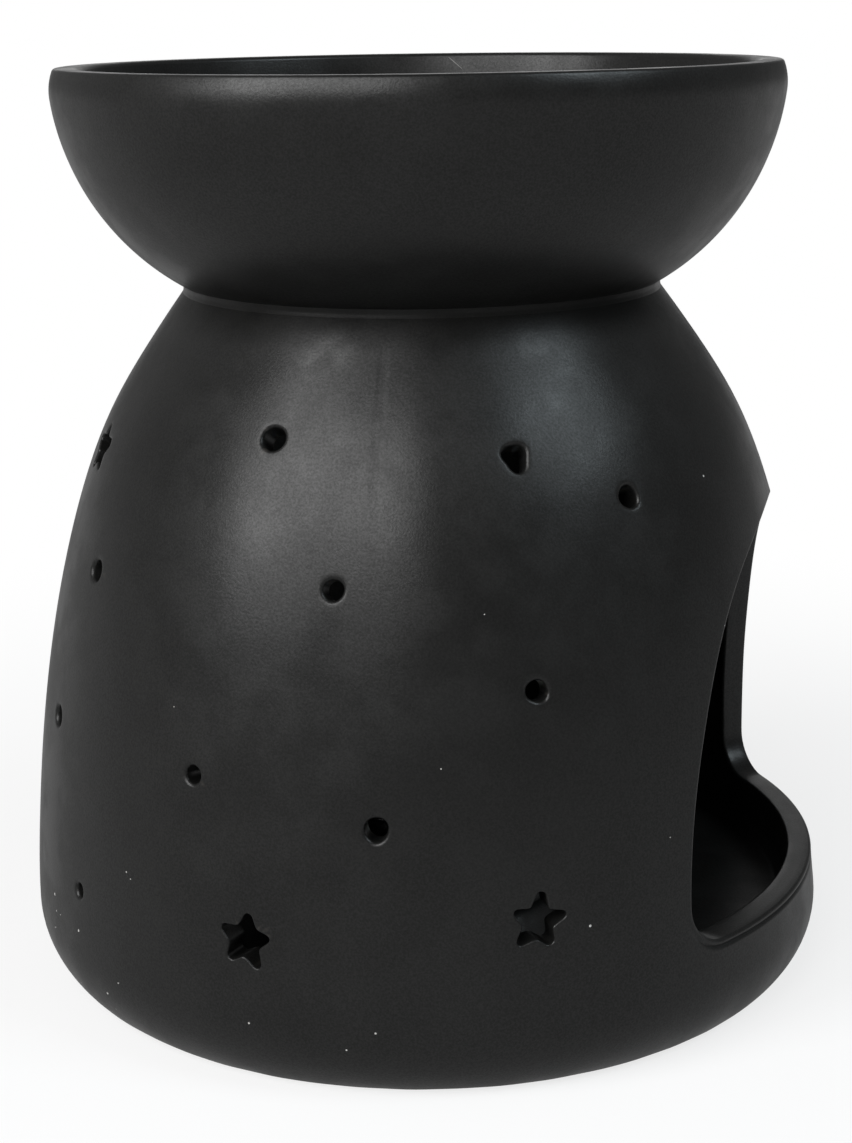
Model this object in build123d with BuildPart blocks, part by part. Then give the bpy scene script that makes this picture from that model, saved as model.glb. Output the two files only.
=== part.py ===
from build123d import *
from math import acos, cos, degrees, pi, radians, sin, tan
import os

# Essential oil burner: a glazed ceramic chamber on a low tray, with a bowl on top and a tealight
# inside. Millimetres, +Z up, the origin at the centre of the foot on the table. The window faces +X.

# Heights: the whole, the bowl above its seat on the neck, and the steps of the tray
height = 120.0
bowl_height = 28.8
floor_height = 8.0
tray_rise = 3.5
sill_rise = 3.5
foot_roll_height = 9.6
neck_height = height - bowl_height
tray_height = floor_height + tray_rise
sill_height = tray_height + sill_rise

# Radii of the outside
base_radius = 54.3
foot_inset = 4.7
neck_radius = 31.4
bowl_radius = 47.6
foot_radius = base_radius - foot_inset

# Walls of the tray and the chamber
base_wall = 4.5
chamber_wall = 3.4
foot_ring_width = 5.0
floor_cove = 1.8
neck_seat_width = 4.0

# Bowl
bowl_wall = 4.3
bowl_floor_wall = 4.0
bowl_sag = 3.2
neck_band = 1.1
lip_outer_share = 0.7
lip_inner_share = 0.18

# The chamber's outside above the foot's roll: share of the height up to the neck, and share of the
# way out from the neck's radius to the base's
chamber_outline_shares = (
    (0.135, 0.978),
    (0.300, 0.921),
    (0.480, 0.817),
    (0.663, 0.651),
    (0.815, 0.434),
    (0.925, 0.190),
)
chamber_top_slope_share = 0.74
# Where along the outside the wall's thickness is set off to find the inside
wall_station_shares = (0.08, 0.22, 0.38, 0.54, 0.70, 0.84)

# Window, cut on lines that run to the axis. Angles are in degrees to either side of +X
window_half_angle = 40.6
window_height = 49.0
window_corner = 5.5
window_corner_share = 0.145
# Share of the window's height, and share of its half angle
window_outline_shares = (
    (0.330, 0.973),
    (0.560, 0.880),
    (0.735, 0.752),
    (0.865, 0.580),
    (0.950, 0.360),
)
cutter_inner_share = 0.55
overrun = 6.0

# Round holes: turn in degrees from -Y towards +X, share of the height from the table to the neck,
# and share of the bore
hole_bore = 3.0
hole_shares = (
    (-13.3, 0.855, 1.13),
    (27.8, 0.836, 1.22),
    (46.4, 0.773, 1.00),
    (-0.4, 0.678, 0.93),
    (27.7, 0.549, 0.97),
    (-20.0, 0.425, 0.80),
    (6.1, 0.380, 1.07),
    (-47.3, 0.647, 1.00),
    (-54.3, 0.425, 1.00),
    (-43.1, 0.204, 0.67),
    (137.0, 0.800, 1.07),
    (151.0, 0.560, 0.93),
    (164.0, 0.375, 0.87),
    (178.0, 0.815, 1.10),
    (184.0, 0.500, 1.00),
    (199.0, 0.660, 0.97),
    (207.0, 0.350, 0.83),
    (219.0, 0.850, 1.13),
    (228.0, 0.525, 1.07),
    (247.0, 0.630, 0.93),
    (256.0, 0.300, 0.80),
    (268.0, 0.475, 1.00),
)

# Stars: turn in degrees, share of the same height, and lean in degrees
star_size = 7.0
star_waist_share = 0.53
star_round_share = 0.06
star_points = 5
star_shares = (
    (-11.4, 0.216, -6.0),
    (26.6, 0.251, -8.0),
    (-61.7, 0.793, 4.0),
    (146.0, 0.245, 8.0),
    (162.0, 0.720, -4.0),
    (193.0, 0.205, 5.0),
    (233.0, 0.225, -8.0),
    (241.0, 0.810, 6.0),
)

# Tealight
cup_radius = 19.0
cup_height = 15.6
cup_wall = 0.4
cup_corner = 1.0
cup_bead = 0.5
wax_height = 12.6
wax_clearance = 0.3
wax_edge_round = 0.8
wick_radius = 0.8
wick_reach = 6.0
sustainer_radius = 6.5
sustainer_sheet = 0.35
collar_height = 4.5
collar_foot_radius = 2.6
collar_wall = 0.4
cast_clearance = 0.05

os.makedirs("parts", exist_ok=True)


# Profiles are drawn on the XZ plane: the first number is the radius, the second the height


def chamber_point(height_share, radius_share):
    rise = foot_roll_height + (neck_height - foot_roll_height) * height_share
    return (neck_radius + (base_radius - neck_radius) * radius_share, rise)


chamber_points = [chamber_point(0, 1)]
chamber_points += [chamber_point(*shares) for shares in chamber_outline_shares]
chamber_points.append(chamber_point(1, 0))
chamber_tangents = ((0, 1), (-chamber_top_slope_share, 1))
chamber_outside = Spline(*chamber_points, tangents=chamber_tangents)


def outward(share):
    """The direction square to the chamber's outside, in the profile, at a share of its length."""
    heading = (chamber_outside % share).normalized()
    return (heading.Y, -heading.X)


def chamber_inside_points():
    """The wall is thickest at the foot and thins out quickly above the sill."""
    points = [(base_radius - base_wall, floor_height + floor_cove)]
    for share in wall_station_shares:
        wall = chamber_wall + (base_wall - chamber_wall) * (1 - share) ** 4
        spot, away = chamber_outside @ share, outward(share)
        points.append((spot.X - away[0] * wall, spot.Y - away[1] * wall))
    points.append((neck_radius - neck_seat_width, neck_height))
    return points


def body_profile():
    """Foot, floor and chamber wall in one outline, up to the seat of the bowl."""
    underside = floor_height - base_wall
    ring_inside = foot_radius - foot_ring_width
    cove_radius = base_radius - base_wall - floor_cove
    inside = chamber_inside_points()
    with BuildSketch(Plane.XZ) as profile:
        with BuildLine():
            Polyline((0, floor_height), (0, underside), (ring_inside, underside), (ring_inside, 0), (foot_radius, 0))
            TangentArc((base_radius, foot_roll_height), (foot_radius, 0), tangent=(0, -1))
            Spline(*chamber_points, tangents=chamber_tangents)
            Line(chamber_points[-1], inside[-1])
            Spline(*inside, tangents=chamber_tangents)
            TangentArc((cove_radius, floor_height), inside[0], tangent=(1, 0))
            Line((cove_radius, floor_height), (0, floor_height))
        make_face()
    return profile.sketch


def bowl_profile():
    """The outside is one arc, upright at the lip. The inside keeps its wall down to the neck's radius."""
    seat = neck_height + neck_band
    flare = bowl_radius - neck_radius
    roll = ((height - seat) ** 2 + flare**2) / (2 * flare)
    centre = bowl_radius - roll
    inner_roll = roll - bowl_wall
    sweep = acos((neck_radius - centre) / inner_roll)
    dish_edge = (neck_radius, height - inner_roll * sin(sweep))
    underside = neck_height - bowl_sag
    dish_floor = underside + bowl_floor_wall
    with BuildSketch(Plane.XZ) as profile:
        with BuildLine():
            TangentArc((0, underside), (neck_radius - neck_seat_width, neck_height), tangent=(1, 0))
            Polyline((neck_radius - neck_seat_width, neck_height), (neck_radius, neck_height), (neck_radius, seat))
            TangentArc((bowl_radius, height), (neck_radius, seat), tangent=(0, -1))
            Line((bowl_radius, height), (bowl_radius - bowl_wall, height))
            CenterArc((centre, height), inner_roll, 0, -degrees(sweep))
            Spline(dish_edge, (0, dish_floor), tangents=((-sin(sweep), -cos(sweep)), (-1, 0)))
            Line((0, dish_floor), (0, underside))
        make_face()
        lip = profile.vertices().group_by(Axis.Y)[-1].sort_by(Axis.X)
        fillet(lip[0], lip_inner_share * bowl_wall)
        fillet(profile.vertices().group_by(Axis.Y)[-1].sort_by(Axis.X)[-1], lip_outer_share * bowl_wall)
    return profile.sketch


# Window and holes


def window_face(reach):
    """The window's outline on the plane x = reach, as wide as its lines from the axis make it there."""
    top = sill_height + window_height

    def across(share):
        return reach * tan(radians(window_half_angle * share))

    side = [(across(1), sill_height + window_corner)]
    side += [(across(turn), sill_height + window_height * rise) for rise, turn in window_outline_shares]
    side.append((0, top))
    corner_start = (across(1 - window_corner_share), sill_height)
    with BuildSketch(Plane.YZ.offset(reach)) as face:
        with BuildLine():
            Line((0, sill_height), corner_start)
            Spline(corner_start, side[0], tangents=((1, 0), (0, 1)))
            Spline(*side, tangents=((0, 1), (-1, 0)))
            mirror(about=Plane.YZ)
        make_face()
    return face.sketch


def outline_share_at(rise):
    """The share of the chamber's outside at which it is this high, by halving."""
    low, high = 0, 1
    for _ in range(30):
        middle = (low + high) / 2
        if (chamber_outside @ middle).Y < rise:
            low = middle
        else:
            high = middle
    return middle


def wall_plane(turn, height_share):
    """A plane that lies on the chamber's outside, with its Y up the wall and its Z straight out."""
    share = outline_share_at(neck_height * height_share)
    spot, away = chamber_outside @ share, outward(share)
    east, north = sin(radians(turn)), -cos(radians(turn))
    return Plane(
        origin=(spot.X * east, spot.X * north, spot.Y),
        x_dir=(-north, east, 0),
        z_dir=(away[0] * east, away[0] * north, away[1]),
    )


def star_corner(index, lean):
    reach = star_size / 2 * (star_waist_share if index % 2 else 1)
    angle = radians(90 + lean) + index * pi / star_points
    return (reach * cos(angle), reach * sin(angle))


# Ceramic pieces

with BuildPart() as base_tray:
    revolve(body_profile(), axis=Axis.Z)
    split(bisect_by=Plane.XY.offset(tray_height), keep=Keep.BOTTOM)
base_tray.part.label = "base_tray"

with BuildPart() as chamber_dome:
    revolve(body_profile(), axis=Axis.Z)
    split(bisect_by=Plane.XY.offset(tray_height), keep=Keep.TOP)
    window_ends = [window_face(base_radius * cutter_inner_share), window_face(base_radius + overrun)]
    loft(window_ends, ruled=True, mode=Mode.SUBTRACT)
    cut_reach = base_wall + overrun
    for turn, height_share, bore_share in hole_shares:
        with BuildSketch(wall_plane(turn, height_share)):
            Circle(hole_bore * bore_share / 2)
        extrude(amount=cut_reach, both=True, mode=Mode.SUBTRACT)
    for turn, height_share, lean in star_shares:
        with BuildSketch(wall_plane(turn, height_share)) as star:
            with BuildLine():
                Polyline(*[star_corner(index, lean) for index in range(2 * star_points)], close=True)
            make_face()
            fillet(star.vertices(), star_round_share * star_size)
        extrude(amount=cut_reach, both=True, mode=Mode.SUBTRACT)
chamber_dome.part.label = "chamber_dome"

with BuildPart() as oil_bowl:
    revolve(bowl_profile(), axis=Axis.Z)
oil_bowl.part.label = "oil_bowl"

# Tealight: a rolled aluminium cup on the chamber's floor, with wax, wick and the wick's tin foot

wax_floor = floor_height + cup_wall
wax_radius = cup_radius - cup_wall - wax_clearance
bore_radius = wick_radius + cast_clearance
collar_top_radius = bore_radius + collar_wall

with BuildPart() as tealight_cup:
    with BuildSketch(Plane.XZ) as cup_profile:
        with BuildLine():
            Polyline(
                (0, floor_height),
                (cup_radius, floor_height),
                (cup_radius, floor_height + cup_height - cup_bead),
                (cup_radius - cup_wall, floor_height + cup_height - cup_bead),
                (cup_radius - cup_wall, wax_floor),
                (0, wax_floor),
                close=True,
            )
        make_face()
        fillet(cup_profile.vertices().sort_by_distance((cup_radius, floor_height))[0], cup_corner)
        inner_corner = (cup_radius - cup_wall, wax_floor)
        fillet(cup_profile.vertices().sort_by_distance(inner_corner)[0], cup_corner - cup_wall)
        with Locations((cup_radius - cup_wall + cup_bead, floor_height + cup_height - cup_bead)):
            Circle(cup_bead)
    revolve(axis=Axis.Z)
tealight_cup.part.label = "tealight_cup"


def sustainer_profile(clearance):
    """The tin foot's outline without its bore: a disc with a tapered collar."""
    sheet_top = wax_floor + sustainer_sheet + clearance
    with BuildSketch(Plane.XZ) as profile:
        with BuildLine():
            Polyline(
                (0, wax_floor),
                (sustainer_radius + clearance, wax_floor),
                (sustainer_radius + clearance, sheet_top),
                (collar_foot_radius + clearance, sheet_top),
                (collar_top_radius + clearance, wax_floor + collar_height + clearance),
                (0, wax_floor + collar_height + clearance),
                close=True,
            )
        make_face()
    return profile.sketch


with BuildPart() as tealight_wax:
    with BuildSketch(Plane.XY.offset(wax_floor)):
        Circle(wax_radius)
    extrude(amount=wax_height)
    fillet(tealight_wax.edges().group_by(Axis.Z)[0], cup_corner)
    fillet(tealight_wax.edges().group_by(Axis.Z)[-1], wax_edge_round)
    revolve(sustainer_profile(cast_clearance), axis=Axis.Z, mode=Mode.SUBTRACT)
    with BuildSketch(Plane.XY.offset(wax_floor)):
        Circle(bore_radius)
    extrude(amount=wax_height, mode=Mode.SUBTRACT)
tealight_wax.part.label = "tealight_wax"

with BuildPart() as wick_sustainer:
    revolve(sustainer_profile(0), axis=Axis.Z)
    with BuildSketch(Plane.XY.offset(wax_floor)):
        Circle(bore_radius)
    extrude(amount=collar_height, mode=Mode.SUBTRACT)
wick_sustainer.part.label = "wick_sustainer"

with BuildPart() as wick:
    with BuildSketch(Plane.XY.offset(wax_floor)):
        Circle(wick_radius)
    extrude(amount=wax_height + wick_reach)
    fillet(wick.edges().group_by(Axis.Z)[-1], wick_radius / 2)
wick.part.label = "wick"

for piece in (base_tray, chamber_dome, oil_bowl, tealight_cup, tealight_wax, wick_sustainer, wick):
    export_step(piece.part, "parts/" + piece.part.label + ".step")
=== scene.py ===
"""Essential oil burner: glazed ceramics, a tealight and a small studio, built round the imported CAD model.

Metres, +Z up, the origin at the centre of the foot. A turn is the angle from -Y towards +X, so the
window is at a quarter turn. Each surface is a function of a turn and a place along a profile.
"""

from math import acos, asin, cos, pi, radians, sin, sqrt, tan

import bpy
import numpy as np
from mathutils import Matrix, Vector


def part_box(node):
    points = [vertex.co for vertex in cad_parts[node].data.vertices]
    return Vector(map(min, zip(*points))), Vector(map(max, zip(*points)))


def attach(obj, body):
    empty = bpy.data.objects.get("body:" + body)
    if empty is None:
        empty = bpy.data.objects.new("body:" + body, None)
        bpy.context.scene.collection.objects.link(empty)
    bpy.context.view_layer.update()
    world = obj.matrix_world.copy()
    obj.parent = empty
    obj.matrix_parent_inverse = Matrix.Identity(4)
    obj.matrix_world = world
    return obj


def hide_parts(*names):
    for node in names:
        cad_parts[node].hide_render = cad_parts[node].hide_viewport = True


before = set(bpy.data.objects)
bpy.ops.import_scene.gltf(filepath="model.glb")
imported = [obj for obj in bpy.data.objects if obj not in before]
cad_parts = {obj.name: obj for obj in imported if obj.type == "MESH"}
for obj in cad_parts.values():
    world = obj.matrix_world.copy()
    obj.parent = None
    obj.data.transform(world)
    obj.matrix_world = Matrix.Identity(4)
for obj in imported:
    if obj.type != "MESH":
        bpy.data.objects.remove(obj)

bl_info = {
    "name": "Essential Oil Burner",
    "version": (1, 0, 0),
    "blender": (4, 5, 0),
    "location": "3D View > Sidebar > Oil Burner",
    "description": "Builds a pierced ceramic oil burner with its tealight, and the studio it stands in",
    "category": "Add Mesh",
}

COLUMNS = 240
DOME_ROWS = 56

TRAY_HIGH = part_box("base_tray")[1]
DOME_LOW, DOME_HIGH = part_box("chamber_dome")
BOWL_LOW, BOWL_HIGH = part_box("oil_bowl")
CUP_LOW, CUP_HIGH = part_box("tealight_cup")
WAX_LOW, WAX_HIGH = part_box("tealight_wax")
WICK_LOW, WICK_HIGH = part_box("wick")

# The chamber's outside above the foot's roll: share of the height up to the neck, and share of the
# way out from the neck's radius to the base's
CHAMBER_OUTLINE = (
    (0.0, 1.0), (0.135, 0.978), (0.300, 0.921), (0.480, 0.817),
    (0.663, 0.651), (0.815, 0.434), (0.925, 0.190), (1.0, 0.0),
)
CHAMBER_TOP_SLOPE = 0.74
WALL_STATIONS = (0.08, 0.22, 0.38, 0.54, 0.70, 0.84)

# Unevenness of the outside, in metres. Waves: share of the depth, waves per turn, radians per metre
# of height, and start
WAVES = ((1.0, 2, 31, 0.6), (0.8, 3, -47, 2.1), (0.6, 5, 83, 4.0), (0.5, 7, -122, 1.2))
WAVE_DEPTH, WAVE_SUM = 0.00002, 2.9
# The mould's seam, the flutes beside it, and the bells at the window's side: depth, middle, width
SEAM_TURN = 0.0925
FLUTES, FLUTE_DEPTH, FLUTE_SPREAD = 24, 0.00004, 0.35
FLUTE_BELL = (0.073, 0.022)
WINDOW_SIDE = 1.7
DRAWN_IN, DRAWN_BELL = 0.001, (0.015, 0.008)
BULGED, BULGED_BELL = 0.00035, (0.08, 0.02)

# The window's side: share of its height, and share of its half angle
WINDOW_OUTLINE = ((0.330, 0.973), (0.560, 0.880), (0.735, 0.752), (0.865, 0.580), (0.950, 0.360))
WINDOW_CORNER = 0.112
WINDOW_CORNER_SHARE = 0.145
WINDOW_FAR_SHARE = 0.978
WINDOW_MIDDLE = 0.44

# Round holes: turn in degrees, share of the height from the table to the neck, share of the bore,
# how far the hole is pulled out of round, and where to, in degrees below level
ROUND_HOLES = (
    (-13.3, 0.855, 1.13, 0.04, 70), (27.8, 0.836, 1.14, 0.36, 80), (46.4, 0.773, 1.00, 0.12, 60),
    (-0.4, 0.678, 0.93, 0.05, 70), (27.7, 0.549, 0.97, 0.06, 50), (-20.0, 0.425, 0.80, 0.05, 70),
    (6.1, 0.380, 1.07, 0.07, 80), (-47.3, 0.647, 1.00, 0.04, 70), (-54.3, 0.425, 1.00, 0.05, 70),
    (-43.1, 0.204, 0.67, 0.03, 70), (137.0, 0.800, 1.07, 0.05, 60), (151.0, 0.560, 0.93, 0.08, 90),
    (164.0, 0.375, 0.87, 0.04, 70), (178.0, 0.815, 1.10, 0.12, 75), (184.0, 0.500, 1.00, 0.05, 60),
    (199.0, 0.660, 0.97, 0.06, 100), (207.0, 0.350, 0.83, 0.04, 70), (219.0, 0.850, 1.13, 0.07, 80),
    (228.0, 0.525, 1.07, 0.05, 70), (247.0, 0.630, 0.93, 0.09, 65), (256.0, 0.300, 0.80, 0.04, 70),
    (268.0, 0.475, 1.00, 0.06, 85),
)
HOLE_SIDES, HOLE_SEED = 48, 1.7
# The waves of a hole's radius: share, waves per turn, and start per seed. Then what a pulled hole
# loses all round
HOLE_WAVES, HOLE_EVEN = ((0.022, 2, 1.0), (0.014, 3, 2.3)), 0.12
# Stars: turn in degrees, the same share of height, and lean in degrees
STARS = (
    (-11.4, 0.216, -6.0), (26.6, 0.251, -8.0), (-61.7, 0.793, 4.0), (146.0, 0.245, 8.0),
    (162.0, 0.720, -4.0), (193.0, 0.205, 5.0), (233.0, 0.225, -8.0), (241.0, 0.810, 6.0),
)
STAR_POINTS, STAR_REACH, STAR_WAIST, STAR_BLUNT = 5, 0.99, 0.56, radians(6)
# How its reach, waist and bluntness waver: depths, steps per finger, and starts per seed
STAR_WAVERS, STAR_SEED = ((0.06, 0.04, 0.25), (2.7, 1.9, 4.1), (1, 2, 1)), 2.1
STAR_SIDES, WINDOW_SIDES, CORNER_BLUR = 120, 300, 0.0003
# How much wall a patch takes beyond its opening, the rings that cross it, and the wall's inside seen
# from its outside, where the search for it starts
HOLE_MARGIN, WINDOW_MARGIN = 0.0009, 0.001
PATCH_RINGS = (0.6, 0.36, 0.16, 0.0)
QUARTER = np.radians([22.5, 45.0, 67.5, 90.0])
INSIDE_START = -0.0035
# The fine groove under the sill's edge: distances from the edge, and shares of its depth there, the
# depth, and the height over which it fades at the window's sides
GROOVE_STEPS = ((0.0009, 0.0), (0.00072, 0.35), (0.00052, 1.0), (0.00034, 0.7), (0.00015, 0.1), (0.0, 0.0))
GROOVE_DEPTH, GROOVE_FADE = 0.00028, 0.004

# The tray: how its corners are eased under the floor and on the ring's two edges, the plain strip
# kept between two corners, and the waver of the ring's edges as share, waves per turn and start
UNDER_EASE, RING_EASE, FOOT_EASE, STRIP = 0.0008, 0.0006, 0.0007, 0.0001
RING_WAVES = ((1.0, 23, 1.0), (0.7, 37, 4.1), (0.6, 53, 2.2), (0.5, 11, 0.0))
RING_WAVER, RING_WAVE_SUM, RING_FADE, RING_SIDE = 0.00003, 2.8, 0.0009, 0.001
# Where its wall starts above the roll and above the cove, and how far from the cove its floor starts
ABOVE_ROLL, ABOVE_COVE, BESIDE_COVE = 0.001, 0.0026, 0.0012

# The bowl: waist of its neck bead, flare of its lip inside and lean outside, the height over which
# both fade, the width in which the one turns into the other, the start of the lean, and the height
# over which the unevenness fades
BEAD_WAIST = 0.00008
LIP_FLARE, LIP_LEAN_IN, LIP_FADE, LIP_BAND, LEAN_START = 0.0006, 0.0001, 0.002, 0.0015, 0.87
LIP_CALM = 0.012

# The cup's pressed bottom: share of the radius, and lift. Then its bottom corner, and the fades of
# its flutes above the corner and below the bead
CUP_BOTTOM = ((0.30, 0.00035), (0.33, 0.00012), (0.80, 0.00012), (0.83, 0.0))
CUP_CORNER, CUP_STRIP, CUP_INSIDE, BEAD_STRIP = 0.001, 0.0003, 0.0016, 0.0002
FLUTE_START, FLUTE_RISE, FLUTE_FALL, FLUTE_SIDE = 0.0008, 0.0022, 0.0028, 0.00005
# The wax: its roundings below and above, the room left for the wick and its tin foot, and its waves
WAX_FOOT, WAX_EDGE, WAX_RIM = 0.001, 0.0008, 0.0002
WICK_ROOM, COLLAR_WALL, COLLAR_FOOT, COLLAR_RISE = 0.00005, 0.00045, 0.00265, 0.0046
FOOT_DISC, FOOT_SHEET = 0.00655, 0.0004
WAX_WAVE, DIP_BAND = 0.00005, 0.0005
# The wick: length over which its strands cross, and how far its tip leans
BRAID_PITCH = 0.0034
TIP_LEAN = (0.0007, -0.0004)

# Pale specks in the glaze: turn in degrees, height and share of the usual size
SPECKS = (
    (64.2, 0.0708, 1.1), (33.5, 0.0215, 1.2), (5.8, 0.0098, 1.0), (-11.0, 0.0093, 1.0), (2.0, 0.0073, 0.9),
    (-36.8, 0.0065, 1.2), (-50.0, 0.0028, 1.2), (-49.8, 0.013, 0.7), (14.5, 0.0418, 0.7),
    (61.0, 0.0532, 0.8), (-31.5, 0.0243, 0.8), (-30.6, 0.0236, 0.7), (46.0, 0.0302, 0.6),
    (-24.0, 0.0463, 0.6), (21.0, 0.0591, 0.5),
)
SPECK_RADIUS = 0.00013
# Where the glaze ran thick under the neck and shines more: turn in degrees, height and size
RUNS = ((-5.0, 0.088, 1.0), (-8.0, 0.0866, 0.8), (36.5, 0.088, 0.9))
# The dusty side of the foot: inset, turn in degrees and height. The fibre's two ends: x, and drop
# below the lip
DUSTY = (0.001, -47, 0.006)
FIBRE_ENDS = ((-0.0052, 0.0005), (-0.003, 0.0023))
FIBRE_FIT, FIBRE_DEPTH, FIBRE_PALENESS = 1.001, 0.0015, 0.3
# How far the dust and a run reach from their middle: where they start to fade, and where they end
DUST_REACH, RUN_REACH = (0.004, 0.022), (0.0008, 0.0042)
# The seam's line: how it fades sideways, in radians, and the heights between which it starts and ends
SEAM_WIDTH, SEAM_START, SEAM_END = (0.005, 0.025), (0.058, 0.068), (0.086, 0.09)

# Skins: grain, dimples and mottle per metre, and the grain's share in the height
GLAZE_SKIN, CUP_SKIN = (3800.0, 120.0, 110.0, 0.4), (2600.0, 500.0, 160.0, 0.3)
WAX_SKIN, COTTON_SKIN = (1500.0, 330.0, 150.0, 0.25), (4200.0, 1500.0, 500.0, 0.3)
TIN_SKIN = (3000.0, 700.0, 220.0, 0.3)
# Each finish at its darkest, as a share of its colour
GLAZE_DEEP, CUP_DULL, WAX_CLOUDY, COTTON_SHADE, TIN_DULL, FLOOR_SHADE = 0.82, 0.86, 0.93, 0.62, 0.75, 0.985
# Specks: cells per metre, size as a share of a cell, and the share of the cells that hold one
GLAZE_SPECKS, DUST_SPECKS, WAX_SPECKS = (120.0, 0.018, 0.07), (700.0, 0.13, 0.22), (320.0, 0.05, 0.05)
# Roughness of each finish, lowest and highest, and that of the glaze's specks and bare clay
GLAZE_SATIN, CUP_SATIN, WAX_SATIN = (0.31, 0.4), (0.15, 0.25), (0.32, 0.46)
COTTON_SATIN, TIN_SATIN, CLAY_ROUGHNESS = (0.6, 0.8), (0.3, 0.42), 0.85
# The glaze: heights where the bare clay ends, pointiness of worn edges, where wear starts above and
# below the tray's joint and how strong it is, the specular level's range, how far the painted shade in the
# crease under the bowl reaches (a lowered specular level) and what is left of the shine in it, and how much
# more a run shines
BARE_RISE, WORN_EDGE, WORN_FROM, WORN = (0.0001, 0.0003), (0.56, 0.68), (0.0012, 0.0022), 0.5
SHINE, PAINTED_SHADE_REACH, PAINTED_SHADE_SHINE, RUN_SHINE = (0.265, 0.415), (0.0008, 0.0045), (0.05, 0.45), 0.6

# How bright the room is in reflections, and the floor, near and far
ROOM_GREY = 0.15
FLOOR_GREYS = (0.36, 0.46)
WHITE = (1.0, 1.0, 1.0, 1.0)
# The ways to the white screen behind the burner and to the room's paler side, and the cosines of the
# angles from them over which the one and the other end
SCREEN_WAY, SCREEN_EDGE = (-0.21, 0.95, 0.08), (0.9, 0.97)
PALER_WAY, PALER_EDGE = (-0.95, -0.2, 0.2), (0.2, 0.95)
# The floor: the distances over which it turns white to look at, its whiteness at both, the distances
# over which it turns from the first grey to the second, and its whiteness in reflections
FLOOR_FADE, FLOOR_WHITE, FLOOR_PALING, FLOOR_MIRRORED = (0.06, 0.24), (0.75, 1.0), (0.05, 0.4), 0.85
# The soft lamps: name, power setting, turn and elevation in degrees, width, height and colour
LAMPS = (
    ("Key softbox", "key_power", -40, 32.5, 0.36, 0.6, (1.0, 1.0, 1.0)),
    ("Fill softbox", "fill_power", -8, 35, 0.36, 0.52, (1.0, 1.0, 1.0)),
    ("Side softbox", "side_power", 74, 43, 0.34, 0.32, (0.88, 1.0, 1.06)),
)
LAMP_DISTANCE, LAMP_AIM = 0.9, 0.06
CAMERA_PLACE = (0.064693, -0.284638, 0.128013)
CAMERA_TURNS = (75.4114, 0.7795, 12.5757)
FLOOR_RINGS, FLOOR_COLUMNS = (0.12, 0.4, 1.5, 6.0), 96


def number(name, description, default, unit="NONE", **limits):
    """A number that a user may change."""
    return bpy.props.FloatProperty(name=name, description=description, default=default, unit=unit, **limits)


def span(name, description, default):
    """A length in metres."""
    return number(name, description, default, "LENGTH", min=0.0, subtype="DISTANCE", precision=5)


def angle_span(name, description, default, high):
    """An angle, kept in radians, from its default and its highest value in degrees."""
    limits = {"min": radians(5), "max": radians(high)}
    return number(name, description, radians(default), "ROTATION", subtype="ANGLE", **limits)


def share(name, description, default):
    """A plain number from nothing to one."""
    return number(name, description, default, min=0.0, max=1.0, subtype="FACTOR")


def tint(name, description, default):
    """A linear colour."""
    return bpy.props.FloatVectorProperty(
        name=name, description=description, default=default, size=4, min=0.0, max=1.0, subtype="COLOR"
    )


class CeramicSizes(bpy.types.PropertyGroup):
    """Sizes of the tray, the dome and the bowl."""

    height: span("Height", "From the table to the lip of the bowl", BOWL_HIGH.z)
    neck_height: span("Neck height", "From the table to the seat of the bowl", DOME_HIGH.z)
    tray_height: span("Tray height", "From the table to the joint of the tray and the dome", DOME_LOW.z)
    floor_height: span("Floor height", "From the table to the chamber's floor", CUP_LOW.z)
    base_radius: span("Base radius", "Radius at the widest place, above the foot's roll", TRAY_HIGH.x)
    neck_radius: span("Neck radius", "Radius of the crease under the bowl", 0.0314)
    bowl_radius: span("Bowl radius", "Radius of the bowl's lip, outside", BOWL_HIGH.x)
    foot_inset: span("Foot inset", "How far the foot rolls in under the widest place", 0.0047)
    foot_roll_height: span("Foot roll height", "Height of the foot's roll", 0.0096)
    foot_ring_width: span("Foot ring width", "Width of the ring that stands on the table", 0.005)
    floor_cove: span("Floor cove", "Radius between the floor and the chamber's wall", 0.0018)
    base_wall: span("Base wall", "Thickness of the floor and of the wall at its foot", 0.0045)
    chamber_wall: span("Chamber wall", "Thickness of the chamber's wall higher up", 0.0034)
    seat_width: span("Seat width", "Width of the ring that the bowl sits on", 0.004)
    neck_band: span("Neck band", "Height of the bead between the bowl and the dome", 0.0011)
    bowl_wall: span("Bowl wall", "Thickness of the bowl's wall", 0.0043)
    bowl_floor_wall: span("Bowl floor", "Thickness of the bowl's floor", 0.004)
    lip_rounding: span("Lip rounding", "Radius of the slow rounding outside, below the lip's edge", 0.0076)
    lip_lean: angle_span("Lip lean", "How far the lip's outside leans in before its top edge", 20, 85)
    lip_edge: span("Lip edge", "Radius of the lip's top edge, outside", 0.00045)
    lip_inner_share: share("Lip inside", "Rounding of the lip inside, as a share of the wall", 0.12)


class OpeningSizes(bpy.types.PropertyGroup):
    """Sizes of the window, the holes and the stars."""

    sill_height: span("Sill height", "From the table to the window's sill", 0.015)
    window_height: span("Window height", "From the sill to the top of the arch", 0.049)
    window_half_angle: angle_span("Window half angle", "From the window's middle to its side", 40.6, 80)
    hole_bore: span("Hole bore", "Usual width of a round hole, inside the glaze", 0.0026)
    star_size: span("Star size", "Width of a star across its points", 0.007)
    hole_softness: span("Hole edge", "Rounding of a round hole's edge under the glaze", 0.0005)
    star_softness: span("Star edge", "Rounding of a star's edge under the glaze", 0.00026)
    window_softness: span("Window edge", "Rounding of the window's edge under the glaze", 0.0004)


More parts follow.
